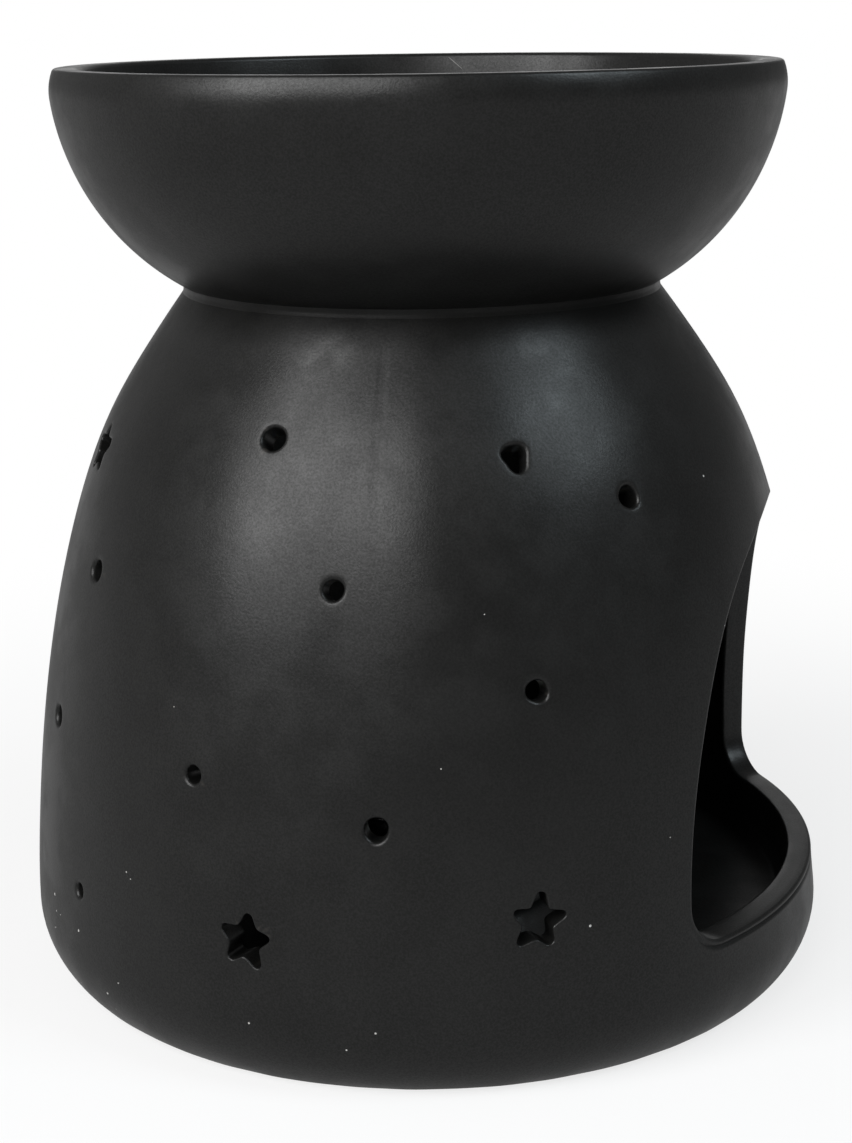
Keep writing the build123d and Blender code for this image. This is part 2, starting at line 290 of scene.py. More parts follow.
class TealightSizes(bpy.types.PropertyGroup):
    """Sizes of the tealight."""

    cup_radius: span("Cup radius", "Radius of the cup's wall, outside", 0.019)
    cup_top: span("Cup top", "From the table to the top of the cup's bead", CUP_HIGH.z)
    cup_wall: span("Cup wall", "Thickness of the aluminium with its air gap", 0.0004)
    cup_bead: span("Cup bead", "Radius of the rolled edge", 0.0005)
    flute_depth: span("Flute depth", "How deep the drawn flutes of the cup are", 0.00011)
    flutes: bpy.props.IntProperty(
        name="Flutes", description="Number of flutes round the cup", default=54, min=12, max=90
    )
    wax_radius: span("Wax radius", "Radius of the wax", WAX_HIGH.x)
    wax_top: span("Wax top", "From the table to the top of the wax", WAX_HIGH.z)
    wax_dip: span("Wax dip", "How far the wax sinks between its edge and the wick", 0.0005)
    wick_radius: span("Wick radius", "Radius of the braid", 0.0008)
    wick_top: span("Wick top", "From the table to the tip of the wick", WICK_HIGH.z)


class Finishes(bpy.types.PropertyGroup):
    """Colours of the finishes."""

    glaze: tint("Glaze", "Satin black glaze", (0.0078, 0.0078, 0.0075, 1.0))
    thin_glaze: tint("Thin glaze", "Glaze that has drawn back from a sharp edge", (0.03, 0.027, 0.024, 1.0))
    clay: tint("Clay", "Bare fired clay on the standing face of the foot", (0.24, 0.2, 0.16, 1.0))
    dust: tint("Dust", "Specks of dust and glaze pinholes", (0.4, 0.395, 0.38, 1.0))
    aluminium: tint("Aluminium", "Cup of the tealight", (0.6, 0.6, 0.6, 1.0))
    wax: tint("Wax", "White paraffin", (0.86, 0.84, 0.78, 1.0))
    wax_speck: tint("Wax speck", "Specks in the paraffin", (0.55, 0.52, 0.46, 1.0))
    cotton: tint("Cotton", "Waxed wick", (0.85, 0.83, 0.77, 1.0))
    tin: tint("Tin", "The wick's foot", (0.6, 0.6, 0.6, 1.0))


class Studio(bpy.types.PropertyGroup):
    """The floor, the lamps and the camera."""

    floor: tint("Floor", "Pale floor under the burner", (0.96, 0.96, 0.96, 1.0))
    key_power: number("Key", "Power of the left half of the large soft lamp", 5.1, "POWER", min=0.0)
    fill_power: number("Fill", "Power of the right half of the large soft lamp", 3.25, "POWER", min=0.0)
    side_power: number("Side", "Power of the soft lamp at the right", 2.12, "POWER", min=0.0)
    daylight: share("Daylight", "Even light from all round", 0.25)
    lens: number("Lens", "Focal length", 69.43, "CAMERA", min=10.0)


class Workshop(bpy.types.PropertyGroup):
    """All settings of the burner."""

    ceramic: bpy.props.PointerProperty(type=CeramicSizes)
    openings: bpy.props.PointerProperty(type=OpeningSizes)
    tealight: bpy.props.PointerProperty(type=TealightSizes)
    finishes: bpy.props.PointerProperty(type=Finishes)
    studio: bpy.props.PointerProperty(type=Studio)


# Curves


def measured(points):
    """The length of a line of points from its start up to each of them."""
    return np.concatenate([[0.0], np.cumsum(np.linalg.norm(np.diff(points, axis=0), axis=1))])


def spline_curve(knots, start, end, count=1200):
    """A cubic curve through the knots. Its parameter is the chord length. The directions at the knots solve
    the three-term equations that make the second derivative run on, with the first and last ones given.
    Between two knots it is the Hermite blend: each knot times its blend, plus each direction times its
    own."""
    p = np.asarray(knots, float)
    at = measured(p)
    gap = np.diff(at)
    chord = np.diff(p, axis=0) / gap[:, None]
    n = len(p)
    system, wanted = np.eye(n), np.zeros((n, 2))
    wanted[0] = np.asarray(start) / np.linalg.norm(start)
    wanted[-1] = np.asarray(end) / np.linalg.norm(end)
    i = np.arange(1, n - 1)
    system[i, i - 1], system[i, i], system[i, i + 1] = gap[i], 2 * (gap[i - 1] + gap[i]), gap[i - 1]
    wanted[i] = 3 * (gap[i, None] * chord[i - 1] + gap[i - 1, None] * chord[i])
    way = np.linalg.solve(system, wanted)
    s = np.linspace(0.0, at[-1], count)
    k = np.clip(np.searchsorted(at, s, side="right") - 1, 0, n - 2)
    w = ((s - at[k]) / gap[k])[:, None]
    h = gap[k][:, None]
    by_place = (1 + 2 * w) * (1 - w) ** 2 * p[k] + w**2 * (3 - 2 * w) * p[k + 1]
    return by_place + h * w * (1 - w) ** 2 * way[k] - h * w**2 * (1 - w) * way[k + 1]


def along(curve, shares):
    """Points and unit headings at shares of the curve's length."""
    at = measured(curve)
    s = np.asarray(shares) * at[-1]
    slope = np.gradient(curve, axis=0)
    points = np.stack([np.interp(s, at, curve[:, i]) for i in (0, 1)], 1)
    heading = np.stack([np.interp(s, at, slope[:, i]) for i in (0, 1)], 1)
    return points, heading / np.linalg.norm(heading, axis=1)[:, None]


def arc(centre, radius, start, end, count):
    """Points on a circle: the centre plus the radius times the cosine and the sine of the angle."""
    angle = np.linspace(start, end, count)
    return np.stack([centre[0] + radius * np.cos(angle), centre[1] + radius * np.sin(angle)], 1)


def run(start, end, count):
    """Evenly spaced points of a straight line."""
    w = np.linspace(0.0, 1.0, count)[:, None]
    return (1 - w) * np.asarray(start, float) + w * np.asarray(end, float)


def eased(before, corner, after, reach, count=5):
    """A corner rounded by a parabola between the two points that lie reach away from it."""
    corner = np.asarray(corner, float)
    a, b = np.asarray(before, float) - corner, np.asarray(after, float) - corner
    a, b = corner + a / np.linalg.norm(a) * reach, corner + b / np.linalg.norm(b) * reach
    w = np.linspace(0.0, 1.0, count)[:, None]
    return (1 - w) ** 2 * a + 2 * w * (1 - w) * corner + w**2 * b


def joined(*parts):
    """One profile from several, with points that coincide left out."""
    points = np.concatenate([np.atleast_2d(np.asarray(part, float)) for part in parts])
    keep = np.concatenate([[True], np.linalg.norm(np.diff(points, axis=0), axis=1) > 1e-7])
    return points[keep]


def bell(value, middle, width):
    """One at the middle, falling off on both sides: e to the minus square of the distance over the
    width."""
    return np.exp(-(((value - middle) / width) ** 2))


def smooth(value):
    """A step from nothing to one, level at both ends: 3 x² - 2 x³."""
    part = np.clip(value, 0, 1)
    return part**2 * (3 - 2 * part)


def around(radius, turn, rise):
    """Points at a radius, a turn from -Y towards +X, and a height."""
    radius, turn, rise = np.broadcast_arrays(radius, turn, rise)
    return np.stack([radius * np.sin(turn), -radius * np.cos(turn), rise], -1)


def turn_and_radius(points):
    """The turn of each point from -Y towards +X, and its distance from the axis."""
    return np.arctan2(points[:, 0], -points[:, 1]), np.hypot(points[:, 0], points[:, 1])


# Outlines of the ceramics


def chamber_outline(sizes):
    """The chamber's outside from the foot's roll to the neck, as radius and height."""
    rise = sizes.neck_height - sizes.foot_roll_height
    spread_out = sizes.base_radius - sizes.neck_radius
    low, inner = sizes.foot_roll_height, sizes.neck_radius
    knots = [(inner + spread_out * out, low + rise * up) for up, out in CHAMBER_OUTLINE]
    return spline_curve(knots, (0, 1), (-CHAMBER_TOP_SLOPE, 1))


def chamber_lining(sizes):
    """The chamber's inside: the outside, less the wall square to it. The wall thins as the fourth power of
    the rest."""
    points, heading = along(chamber_outline(sizes), WALL_STATIONS)
    wall = sizes.chamber_wall + (sizes.base_wall - sizes.chamber_wall) * (1 - np.asarray(WALL_STATIONS)) ** 4
    away = np.stack([heading[:, 1], -heading[:, 0]], 1)
    knots = [(sizes.base_radius - sizes.base_wall, sizes.floor_height + sizes.floor_cove)]
    knots += [tuple(point) for point in points - away * wall[:, None]]
    knots.append((sizes.neck_radius - sizes.seat_width, sizes.neck_height))
    return spline_curve(knots, (0, 1), (-CHAMBER_TOP_SLOPE, 1))


def radius_at(curve, rise):
    """The radius of a profile at a height."""
    return np.interp(rise, curve[:, 1], curve[:, 0])


def foot_roll(sizes):
    """The radius of the foot's roll: an arc through the foot's edge that is upright at the widest place."""
    return (sizes.foot_roll_height**2 + sizes.foot_inset**2) / (2 * sizes.foot_inset)


def hand_ripple(turn, rise):
    """How far the outside lies in from its true form, in metres: a few slow waves of the turn and the
    height, of about a tenth of a millimetre at most, as a cast and sponged wall has. Beside the mould's
    seam a cosine of the turn makes faint upright flutes. At the window's side the wall is drawn in a little
    at the sill and bulges a little at the shoulder, by bells of the height times a cosine of the turn."""
    waves = sum(part * np.sin(turns * turn + rises * rise + start) for part, turns, rises, start in WAVES)
    from_seam = np.angle(np.exp(1j * (turn - SEAM_TURN)))
    beside = bell(from_seam, 0.0, FLUTE_SPREAD) * bell(rise, *FLUTE_BELL)
    fluting = FLUTE_DEPTH * (1 + np.cos(FLUTES * from_seam)) * beside
    right = np.clip(np.cos(turn - WINDOW_SIDE), 0, 1) ** 2
    drawn_in = DRAWN_IN * right**2 * bell(rise, *DRAWN_BELL)
    bulged = BULGED * right * bell(rise, *BULGED_BELL)
    return WAVE_DEPTH * (WAVE_SUM + waves) + fluting + drawn_in - bulged


class Wall:
    """One side of the chamber's wall: a radius at each turn and height."""

    def __init__(self, curve, rippled):
        self.curve, self.rippled = curve, rippled

    def radius(self, turn, rise):
        """The profile's radius at that height, less the ripple on the outside."""
        radius = radius_at(self.curve, rise)
        return radius - hand_ripple(turn, rise) if self.rippled else radius

    def slope(self, rise):
        """How fast the radius grows with the height."""
        step = 0.0003
        return (radius_at(self.curve, rise + step) - radius_at(self.curve, rise - step)) / (2 * step)


# Meshes


def spun(profile, ripple=None, columns=COLUMNS, shift=None):
    """A profile carried round the axis: the point at row k and turn t is (r sin t, -r cos t, z), with r
    less the ripple where the row has any. A row on the axis is one point, closed by triangles. A profile
    that ends away from the axis runs back to its start."""
    turn = np.arange(columns) * 2 * pi / columns
    radius = np.repeat(profile[:, :1], columns, 1)
    rise = np.repeat(profile[:, 1:], columns, 1)
    turns = np.repeat(turn[None], len(profile), 0)
    if shift is not None:
        radius, rise = shift(radius, turns, rise)
    if ripple is not None:
        radius = radius - ripple[:, None] * hand_ripple(turns, rise)
    points = around(radius, turns, rise).reshape(-1, 3)
    index = np.arange(len(points)).reshape(len(profile), columns)
    poles = profile[:, 0] < 1e-9
    index[poles] = index[poles, :1]
    if not (poles[0] and poles[-1]):
        index = np.concatenate([index, index[:1]])
    quads = strip(index)
    low, high = quads[:, 0] == quads[:, 1], quads[:, 2] == quads[:, 3]
    triangles = np.concatenate([quads[low][:, [0, 2, 3]], quads[high][:, [0, 1, 2]]])
    return points, quads[~low & ~high], triangles


def strip(index):
    """The four-sided faces between the rows of a grid of point numbers whose columns run round."""
    after = np.roll(index, -1, 1)
    return np.stack([index[:-1], after[:-1], after[1:], index[1:]], -1).reshape(-1, 4)


def checked(name, points, quads, triangles):
    """Drops unused points, and stops if an edge isn't shared by exactly two faces that run it in opposite
    directions, or if the volume, a sixth of the sum of the corners' triple products, isn't positive."""
    used, flat = np.unique(np.concatenate([quads.ravel(), triangles.ravel()]), return_inverse=True)
    quads, triangles = flat[: quads.size].reshape(-1, 4), flat[quads.size :].reshape(-1, 3)
    points = points[used]
    starts, ends = (
        np.concatenate([np.roll(faces, -step, 1).ravel() for faces in (quads, triangles)]).astype(np.int64)
        for step in (0, 1)
    )
    forward, backward = np.sort(starts * len(points) + ends), np.sort(ends * len(points) + starts)
    if len(np.unique(forward)) != len(forward) or not np.array_equal(forward, backward):
        raise RuntimeError(f"{name}: the surface isn't closed")
    corners = np.concatenate([quads[:, [0, 1, 2]], quads[:, [0, 2, 3]], triangles])
    a, b, c = (points[corners[:, i]] for i in range(3))
    volume = np.einsum("ij,ij->", a, np.cross(b, c)) / 6
    if volume <= 0:
        raise RuntimeError(f"{name}: the faces point inwards")
    print(f"{name}: {len(corners)} triangles, {volume * 1e9:.0f} mm3")
    return points, quads, triangles


def make_piece(name, shape, material, body, nodes, sharp=40):
    """Puts a closed surface into a mesh of its own, smooth but for edges over the sharp angle, and ties it
    to the frame."""
    points, quads, triangles = checked(name, *shape)
    mesh = bpy.data.meshes.new(name)
    mesh.vertices.add(len(points))
    mesh.vertices.foreach_set("co", points.astype(np.float32).ravel())
    corners = np.concatenate([quads.ravel(), triangles.ravel()]).astype(np.int32)
    starts = np.concatenate([np.arange(len(quads)) * 4, quads.size + np.arange(len(triangles)) * 3])
    mesh.loops.add(len(corners))
    mesh.loops.foreach_set("vertex_index", corners)
    mesh.polygons.add(len(starts))
    mesh.polygons.foreach_set("loop_start", starts.astype(np.int32))
    mesh.update(calc_edges=True)
    if mesh.validate():
        raise RuntimeError(f"{name}: the mesh had to be mended")
    mesh.shade_smooth()
    mesh.set_sharp_from_angle(angle=radians(sharp))
    mesh.materials.append(material)
    piece = bpy.data.objects.new(name, mesh)
    bpy.context.scene.collection.objects.link(piece)
    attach(piece, body)
    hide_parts(*nodes)


# The tray and the bowl


def tray_shape(sizes):
    """The tray's profile goes out under the floor, round the foot ring, up the foot's roll, in over the
    joint with the dome, down the cove and back over the floor. The ring's edges are uneven by a few
    hundredths of a millimetre."""
    foot = sizes.base_radius - sizes.foot_inset
    ring = foot - sizes.foot_ring_width
    floor, joint, roll_top = sizes.floor_height, sizes.tray_height, sizes.foot_roll_height
    under = floor - sizes.base_wall
    roll = foot_roll(sizes)
    side = arc((sizes.base_radius - roll, roll_top), roll, -asin(roll_top / roll), 0, 14)
    outside, lining = chamber_outline(sizes), chamber_lining(sizes)
    cove = sizes.base_radius - sizes.base_wall - sizes.floor_cove
    above_roll, above_cove = roll_top + ABOVE_ROLL, floor + ABOVE_COVE
    profile = joined(
        run((0, under), (ring - UNDER_EASE - STRIP, under), 24),
        eased((0, under), (ring, under), (ring, 0), UNDER_EASE),
        eased((ring, under), (ring, 0), (foot, 0), RING_EASE),
        run((ring + RING_EASE + STRIP, 0), (foot - FOOT_EASE - STRIP, 0), 5),
        eased((ring, 0), (foot, 0), side[2], FOOT_EASE, 6),
        side[side[:, 1] > FOOT_EASE],
        [(radius_at(outside, above_roll), above_roll)],
        [(radius_at(outside, joint), joint)],
        [(radius_at(lining, joint), joint)],
        [(radius_at(lining, above_cove), above_cove)],
        arc((cove, floor + sizes.floor_cove), sizes.floor_cove, 0, -pi / 2, 9),
        run((cove - BESIDE_COVE, floor), (0, floor), 26),
    )
    outer = np.zeros(len(profile))
    first, last = np.argmax(profile[:, 0] > foot - STRIP), np.argmax(profile[:, 1] >= joint)
    outer[first : last + 1] = 1.0

    def uneven(radius, turns, rise):
        near = bell(rise, 0.0, RING_FADE) * (radius > ring - RING_SIDE)
        rough = sum(part * np.sin(count * turns + start) for part, count, start in RING_WAVES)
        return radius - near * RING_WAVER * (RING_WAVE_SUM + rough), rise

    return spun(profile, outer, shift=uneven)


def bowl_shape(sizes):
    """The bowl's profile: out under its belly, over the seat and a small bead, up one arc that is upright
    at the lip, over the lip, which leans in to a tight top edge, and down the inside into a shallow
    dish."""
    seat, lip, under = sizes.neck_height + sizes.neck_band, sizes.height, BOWL_LOW.z
    flare = sizes.bowl_radius - sizes.neck_radius
    roll = ((lip - seat) ** 2 + flare**2) / (2 * flare)
    centre = sizes.bowl_radius - roll
    inner = roll - sizes.bowl_wall
    outer_soft, inner_soft = sizes.lip_rounding, sizes.lip_inner_share * sizes.bowl_wall
    lean, edge = sizes.lip_lean, sizes.lip_edge
    out_drop = edge + (outer_soft - edge) * sin(lean)
    out_fit = asin(out_drop / (roll - outer_soft))
    in_fit = asin(inner_soft / (inner + inner_soft))
    out_mid = (centre + (roll - outer_soft) * cos(out_fit), lip - out_drop)
    edge_mid = (out_mid[0] + (outer_soft - edge) * cos(lean), lip - edge)
    in_mid = (centre + (inner + inner_soft) * cos(in_fit), lip - inner_soft)
    sweep = acos((sizes.neck_radius - centre) / inner)
    dish_edge = (sizes.neck_radius, lip - inner * sin(sweep))
    seat_inner = sizes.neck_radius - sizes.seat_width
    belly = (seat_inner**2 + (sizes.neck_height - under) ** 2) / (2 * (sizes.neck_height - under))
    up = np.linspace(0, 1, 7)
    bead = (sizes.neck_radius - BEAD_WAIST * np.sin(pi * up) ** 2, sizes.neck_height + sizes.neck_band * up)
    dish_low = (0, under + sizes.bowl_floor_wall)
    profile = joined(
        arc((0, under + belly), belly, -pi / 2, asin(seat_inner / belly) - pi / 2, 18),
        run((seat_inner, sizes.neck_height), (sizes.neck_radius, sizes.neck_height), 4),
        np.stack(bead, 1),
        arc((centre, lip), roll, -asin((lip - seat) / roll), -out_fit, 44),
        arc(out_mid, outer_soft, -out_fit, lean, 16),
        arc(edge_mid, edge, lean, pi / 2, 5),
        arc(in_mid, inner_soft, pi / 2, pi + in_fit, 7),
        arc((centre, lip), inner, -in_fit, -sweep, 36),
        spline_curve([dish_edge, dish_low], (-sin(sweep), -cos(sweep)), (-1, 0), 34),
    )
    profile[0, 0] = profile[-1, 0] = 0.0
    outer = np.clip((lip - profile[:, 1]) / LIP_CALM, 0, 1)
    outer[: np.argmax(profile[:, 0] >= sizes.neck_radius - 1e-9)] = 0.0
    outer[np.argmax(profile[:, 1] > lip - 1e-7) :] = 0.0

    def thrown(radius, turns, rise):
        """Flares the inside a little under the lip, and leans the outside in, more on two sides than
        between them."""
        inside = np.clip((sizes.bowl_radius - 0.5 * sizes.bowl_wall - radius) / LIP_BAND, 0, 1)
        near_lip = np.exp((rise - lip) / LIP_FADE)
        lean_in = LIP_LEAN_IN * (1 + np.cos(2 * turns + LEAN_START)) * (1 - inside)
        return radius + (LIP_FLARE * inside - lean_in) * near_lip, rise

    return spun(profile, outer, shift=thrown)


# The dome and its openings


def round_outline(radius, pull, below, seed):
    """A hole cut by hand: a circle whose radius waves by two slow waves, drawn out to one side by a cosine
    to the fourth power and made three-cornered by a fifth of that pull."""
    angle = np.arange(HOLE_SIDES) * 2 * pi / HOLE_SIDES
    aside = angle + radians(below)
    wave = 1 + sum(part * np.cos(count * angle + by * seed) for part, count, by in HOLE_WAVES)
    drawn_out = np.cos(3 * aside) / 5 + np.clip(np.cos(aside), 0, 1) ** 4 - HOLE_EVEN
    reach = radius * (wave + pull * drawn_out)
    return np.stack([reach * np.cos(angle), reach * np.sin(angle)], 1)


def evened(loop, count, blur):
    """A closed line taken again at even steps, and smoothed by a bell of the width blur, which rounds its
    corners."""
    closed = np.concatenate([loop, loop[:1]])
    at = measured(closed)
    fine = count * 6
    s = np.arange(fine) * at[-1] / fine
    points = np.interp(s, at, closed[:, 0]) + 1j * np.interp(s, at, closed[:, 1])
    wave = np.fft.fftfreq(fine, at[-1] / fine)
    points = np.fft.ifft(np.fft.fft(points) * np.exp(-2 * (pi * wave * blur) ** 2))
    return np.stack([points.real, points.imag], 1)[::6]


def star_outline(size, tilt, seed):
    """A star with five blunt fingers. Each has two corners at its reach, and a corner at the waist stands
    between it and the next. Reach, waist and bluntness waver a little from finger to finger."""
    finger = np.arange(STAR_POINTS)
    wavers = [depth * np.sin(pace * finger + start * seed) for depth, pace, start in zip(*STAR_WAVERS)]
    reach, waist = size / 2 * (STAR_REACH + wavers[0]), size / 2 * (STAR_WAIST + wavers[1])
    blunt = STAR_BLUNT * (1 + wavers[2])
    heading = radians(90 + tilt) + finger * 2 * pi / STAR_POINTS
    radius = np.stack([reach, reach, waist], 1).ravel()
    angle = np.stack([heading - blunt, heading + blunt, heading + pi / STAR_POINTS], 1).ravel()
    return evened(np.stack([radius * np.cos(angle), radius * np.sin(angle)], 1), STAR_SIDES, CORNER_BLUR)


def window_outline(sizes, openings):
    """The window on a wall unrolled at the base's radius: half of it is a sill, a corner and an arch's side
    as cubic curves drawn on the plane at that radius, where y is the radius times the tangent of the angle,
    and the other half mirrors it. The first number is the angle from the window's middle times the radius,
    the second the height."""
    reach, sill, high = sizes.base_radius, openings.sill_height, openings.window_height

    def across(part):
        return reach * tan(openings.window_half_angle * part)

    side = [(across(1), sill + WINDOW_CORNER * high)]
    side += [(across(part), sill + high * up) for up, part in WINDOW_OUTLINE] + [(0.0, sill + high)]
    corner = (across(1 - WINDOW_CORNER_SHARE), sill)
    half = joined(
        run((0.0, sill), corner, 60),
        spline_curve([corner, side[0]], (1, 0), (0, 1), 60),
        spline_curve(side, (0, 1), (-1, 0), 600),
    )
    half[:, 0] = np.arctan(half[:, 0] / reach) * reach
    mirrored = half[::-1][1:-1] * (-1, 1)
    half[:, 0] *= WINDOW_FAR_SHARE
    return evened(np.concatenate([half, mirrored]), WINDOW_SIDES, CORNER_BLUR)


def outward(loop, stretch=1.0):
    """Unit directions away from an opening, square to its outline, with widths stretched to their true
    length."""
    way = np.roll(loop, -1, 0) - np.roll(loop, 1, 0)
    way[:, 0] *= stretch
    square = np.stack([way[:, 1], -way[:, 0]], 1)
    return square / np.linalg.norm(square, axis=1)[:, None]


class HoleAxis:
    """A hole that runs square to the wall. A point (x, y) of its outline lies x to the right and y up the
    wall from the hole's middle, and is slid along the axis until it meets one side of the wall."""

    def __init__(self, turn, rise, sides):
        self.sides = sides
        radius = float(sides[0].radius(turn, rise))
        slope = float(sides[0].slope(rise))
        east, north = sin(turn), -cos(turn)
        self.axis = np.array([east, north, -slope]) / sqrt(1 + slope**2)
        self.right = np.array([-north, east, 0.0])
        self.up = np.cross(self.axis, self.right)
        self.middle = np.array([radius * east, radius * north, rise])

    def place(self, spots, side, depth):
        """Starts from the wall's usual place and corrects the slide by the error of the radius, eight
        times."""
        wall = self.sides[side]
        flat = self.middle + spots[:, :1] * self.right + spots[:, 1:] * self.up
        slide = np.full(len(spots), (0.0, INSIDE_START)[side])
        for _ in range(8):
            at = flat + slide[:, None] * self.axis
            turn, wide = turn_and_radius(at)
            slide = slide - (wide - wall.radius(turn, at[:, 2])) / np.sqrt(1 + wall.slope(at[:, 2]) ** 2)
        slide = slide + depth * (-1, 1)[side]
        return flat + slide[:, None] * self.axis

    def spots_of(self, points):
        """The (x, y) of points in space."""
        return np.stack([(points - self.middle) @ self.right, (points - self.middle) @ self.up], 1)

    def pushed(self, outline, amount):
        """The outline moved outwards by a length."""
        return outline + amount * outward(outline)


class WindowLines:
    """The window is cut on level lines that run to the axis. A point (x, y) is at the turn of the window's
    middle plus x over the base's radius, and at the height y plus the middle's."""

    def __init__(self, reach, rise, sides):
        self.reach, self.rise, self.sides = reach, rise, sides

    def place(self, spots, side, depth):
        """Points on one side of the wall, sunk into it by a depth."""
        turn, rise = pi / 2 + spots[:, 0] / self.reach, spots[:, 1] + self.rise
        return around(self.sides[side].radius(turn, rise) + depth * (-1, 1)[side], turn, rise)

    def spots_of(self, points):
        """The (x, y) of points in space."""
        return np.stack([(turn_and_radius(points)[0] - pi / 2) * self.reach, points[:, 2] - self.rise], 1)

    def pushed(self, outline, amount):
        """Widths are true at the base's radius and shrink with the wall's own radius higher up."""
        narrow = self.sides[0].radius(pi / 2, outline[:, 1] + self.rise) / self.reach
        step = amount * outward(outline, narrow)
        return outline + np.stack([step[:, 0] / narrow, step[:, 1]], 1)


def spread(outline, border, part):
    """Between an outline and the border of its patch: at each angle, the outline's distance plus part of
    the way to the rectangle that bounds the border."""
    angle, near = np.arctan2(outline[:, 1], outline[:, 0]), np.hypot(outline[:, 0], outline[:, 1])
    ways = np.stack([np.cos(angle), np.sin(angle)], 1)
    reach = np.abs(np.where(ways > 0, border.max(axis=0), border.min(axis=0)))
    far = (reach / np.maximum(np.abs(ways), 1e-9)).min(axis=1)
    return (near + part * np.maximum(far - near, 0))[:, None] * ways


def zipped(coarse, coarse_spots, fine, fine_spots):
    """Triangles between a coarse closed line and a fine one inside it, both anticlockwise. Each fine edge
    joins the coarse point whose share of the full turn it lies in, and each coarse edge the fine point at
    its middle angle."""
    a = np.unwrap(np.arctan2(coarse_spots[:, 1], coarse_spots[:, 0]))
    if np.any(np.diff(a) <= 0):
        raise RuntimeError("an opening's border doesn't run round its middle")
    middle = (a + np.append(a[1:], a[0] + 2 * pi)) / 2
    start = middle[-1] - 2 * pi
    b = start + np.mod(np.arctan2(fine_spots[:, 1], fine_spots[:, 0]) - start, 2 * pi)
    order = np.argsort(b)
    b, fine = b[order], fine[order]
    held = np.searchsorted(middle, b, side="right") % len(coarse)
    fans = np.stack([coarse[held], np.roll(fine, -1), fine], 1)
    switch = np.searchsorted(b, middle, side="left") % len(fine)
    bridges = np.stack([coarse, np.roll(coarse, -1), fine[switch]], 1)
    return np.concatenate([fans, bridges])


def border_of(grid, taken, cells, index):
    """Takes the cells of a patch, and gives the numbers of the points round them, anticlockwise from
    outside."""
    left, right, low, high = cells
    if taken[low:high, left:right].any() or low < 1 or high >= len(grid):
        raise RuntimeError(f"opening {index} runs into another one or off the wall")
    taken[low:high, left:right] = True
    i, j = np.arange(left, right), np.arange(low, high)
    return np.concatenate([
        grid[low, i % COLUMNS], grid[j, right % COLUMNS],
        grid[high, (i[::-1] + 1) % COLUMNS], grid[j[::-1] + 1, left % COLUMNS],
    ])


def opening_patch(index, way, outline, softness, cells, groove, grid, taken, points, count):
    """Fills the cells left out round one opening. Rings run from the patch's border to the outline pushed
    out by the softness, over a quarter circle of that radius into the wall, through it, and the same way
    out on the inside: a point of the quarter circle is pushed softness times (1 - sin a) and sunk softness
    times (1 - cos a). A groove is a depth at each point of the outline, for a fine line beside the edge."""
    borders = [border_of(grid[side], taken[side], cells[side], index) for side in (0, 1)]
    spots = [way.spots_of(points[border]) for border in borders]
    edge = way.pushed(outline, softness)
    start = edge if groove is None else way.pushed(outline, softness + GROOVE_STEPS[0][0])
    lines = ((0, start), (1, edge))
    flats = [[spread(line, spots[side], part) for part in PATCH_RINGS] for side, line in lines]

    def bend(side, angle):
        line = way.pushed(outline, softness * (1 - sin(angle)))
        return way.place(line, side, softness * (1 - cos(angle)))

    bends = [[bend(side, angle) for angle in QUARTER] for side in (0, 1)]
    rings = [way.place(flat, 0, 0.0) for flat in flats[0]]
    if groove is not None:
        for away, deep in GROOVE_STEPS[1:]:
            rings.append(way.place(way.pushed(outline, softness + away), 0, deep * groove))
    rings += bends[0]
    into = way.place(outline, 1, softness)
    rings += [rings[-1] + (into - rings[-1]) * part for part in (0.33, 0.67)]
    rings += bends[1][::-1] + [way.place(flat, 1, 0.0) for flat in flats[1][::-1]]
    made = count + np.arange(len(rings) * len(outline)).reshape(len(rings), -1)
    front = zipped(borders[0], spots[0], made[0], flats[0][0])
    back = zipped(borders[1], spots[1], made[-1], flats[1][0])[:, ::-1]
    return np.concatenate(rings), strip(made), np.concatenate([front, back])


def cells_round(turn_low, turn_high, rise_low, rise_high, rises):
    """The columns and rows of the wall's grid that hold a box of turns and heights."""
    column, row = 2 * pi / COLUMNS, rises[1] - rises[0]
    return (
        int(np.floor(turn_low / column)), int(np.ceil(turn_high / column)),
        int(np.floor((rise_low - rises[0]) / row)), int(np.ceil((rise_high - rises[0]) / row)),
    )


def pierced(sizes, openings, sides, rises):
    """The round holes and the stars, each as its way through the wall, its outline, the softness of its
    edge, the cells that its patch takes outside and inside, and no groove."""
    jobs = []
    for number, (turn, up, bore, pull, below) in enumerate(ROUND_HOLES):
        outline = round_outline(openings.hole_bore * bore / 2, pull, below, number * HOLE_SEED)
        jobs.append((turn, up, outline, openings.hole_softness))
    for number, (turn, up, tilt) in enumerate(STARS):
        outline = star_outline(openings.star_size, tilt, number * STAR_SEED)
        jobs.append((turn, up, outline, openings.star_softness))
    for turn, up, outline, softness in jobs:
        turn = radians(turn) % (2 * pi)
        way = HoleAxis(turn, up * sizes.neck_height, sides)
        half = np.hypot(outline[:, 0], outline[:, 1]).max() + softness + HOLE_MARGIN
        cells = []
        for spot in (way.middle, way.place(np.zeros((1, 2)), 1, 0.0)[0]):
            wide, tall = half / np.hypot(spot[0], spot[1]), half * way.up[2]
            cells.append(cells_round(turn - wide, turn + wide, spot[2] - tall, spot[2] + tall, rises))
        yield way, outline, softness, cells, None


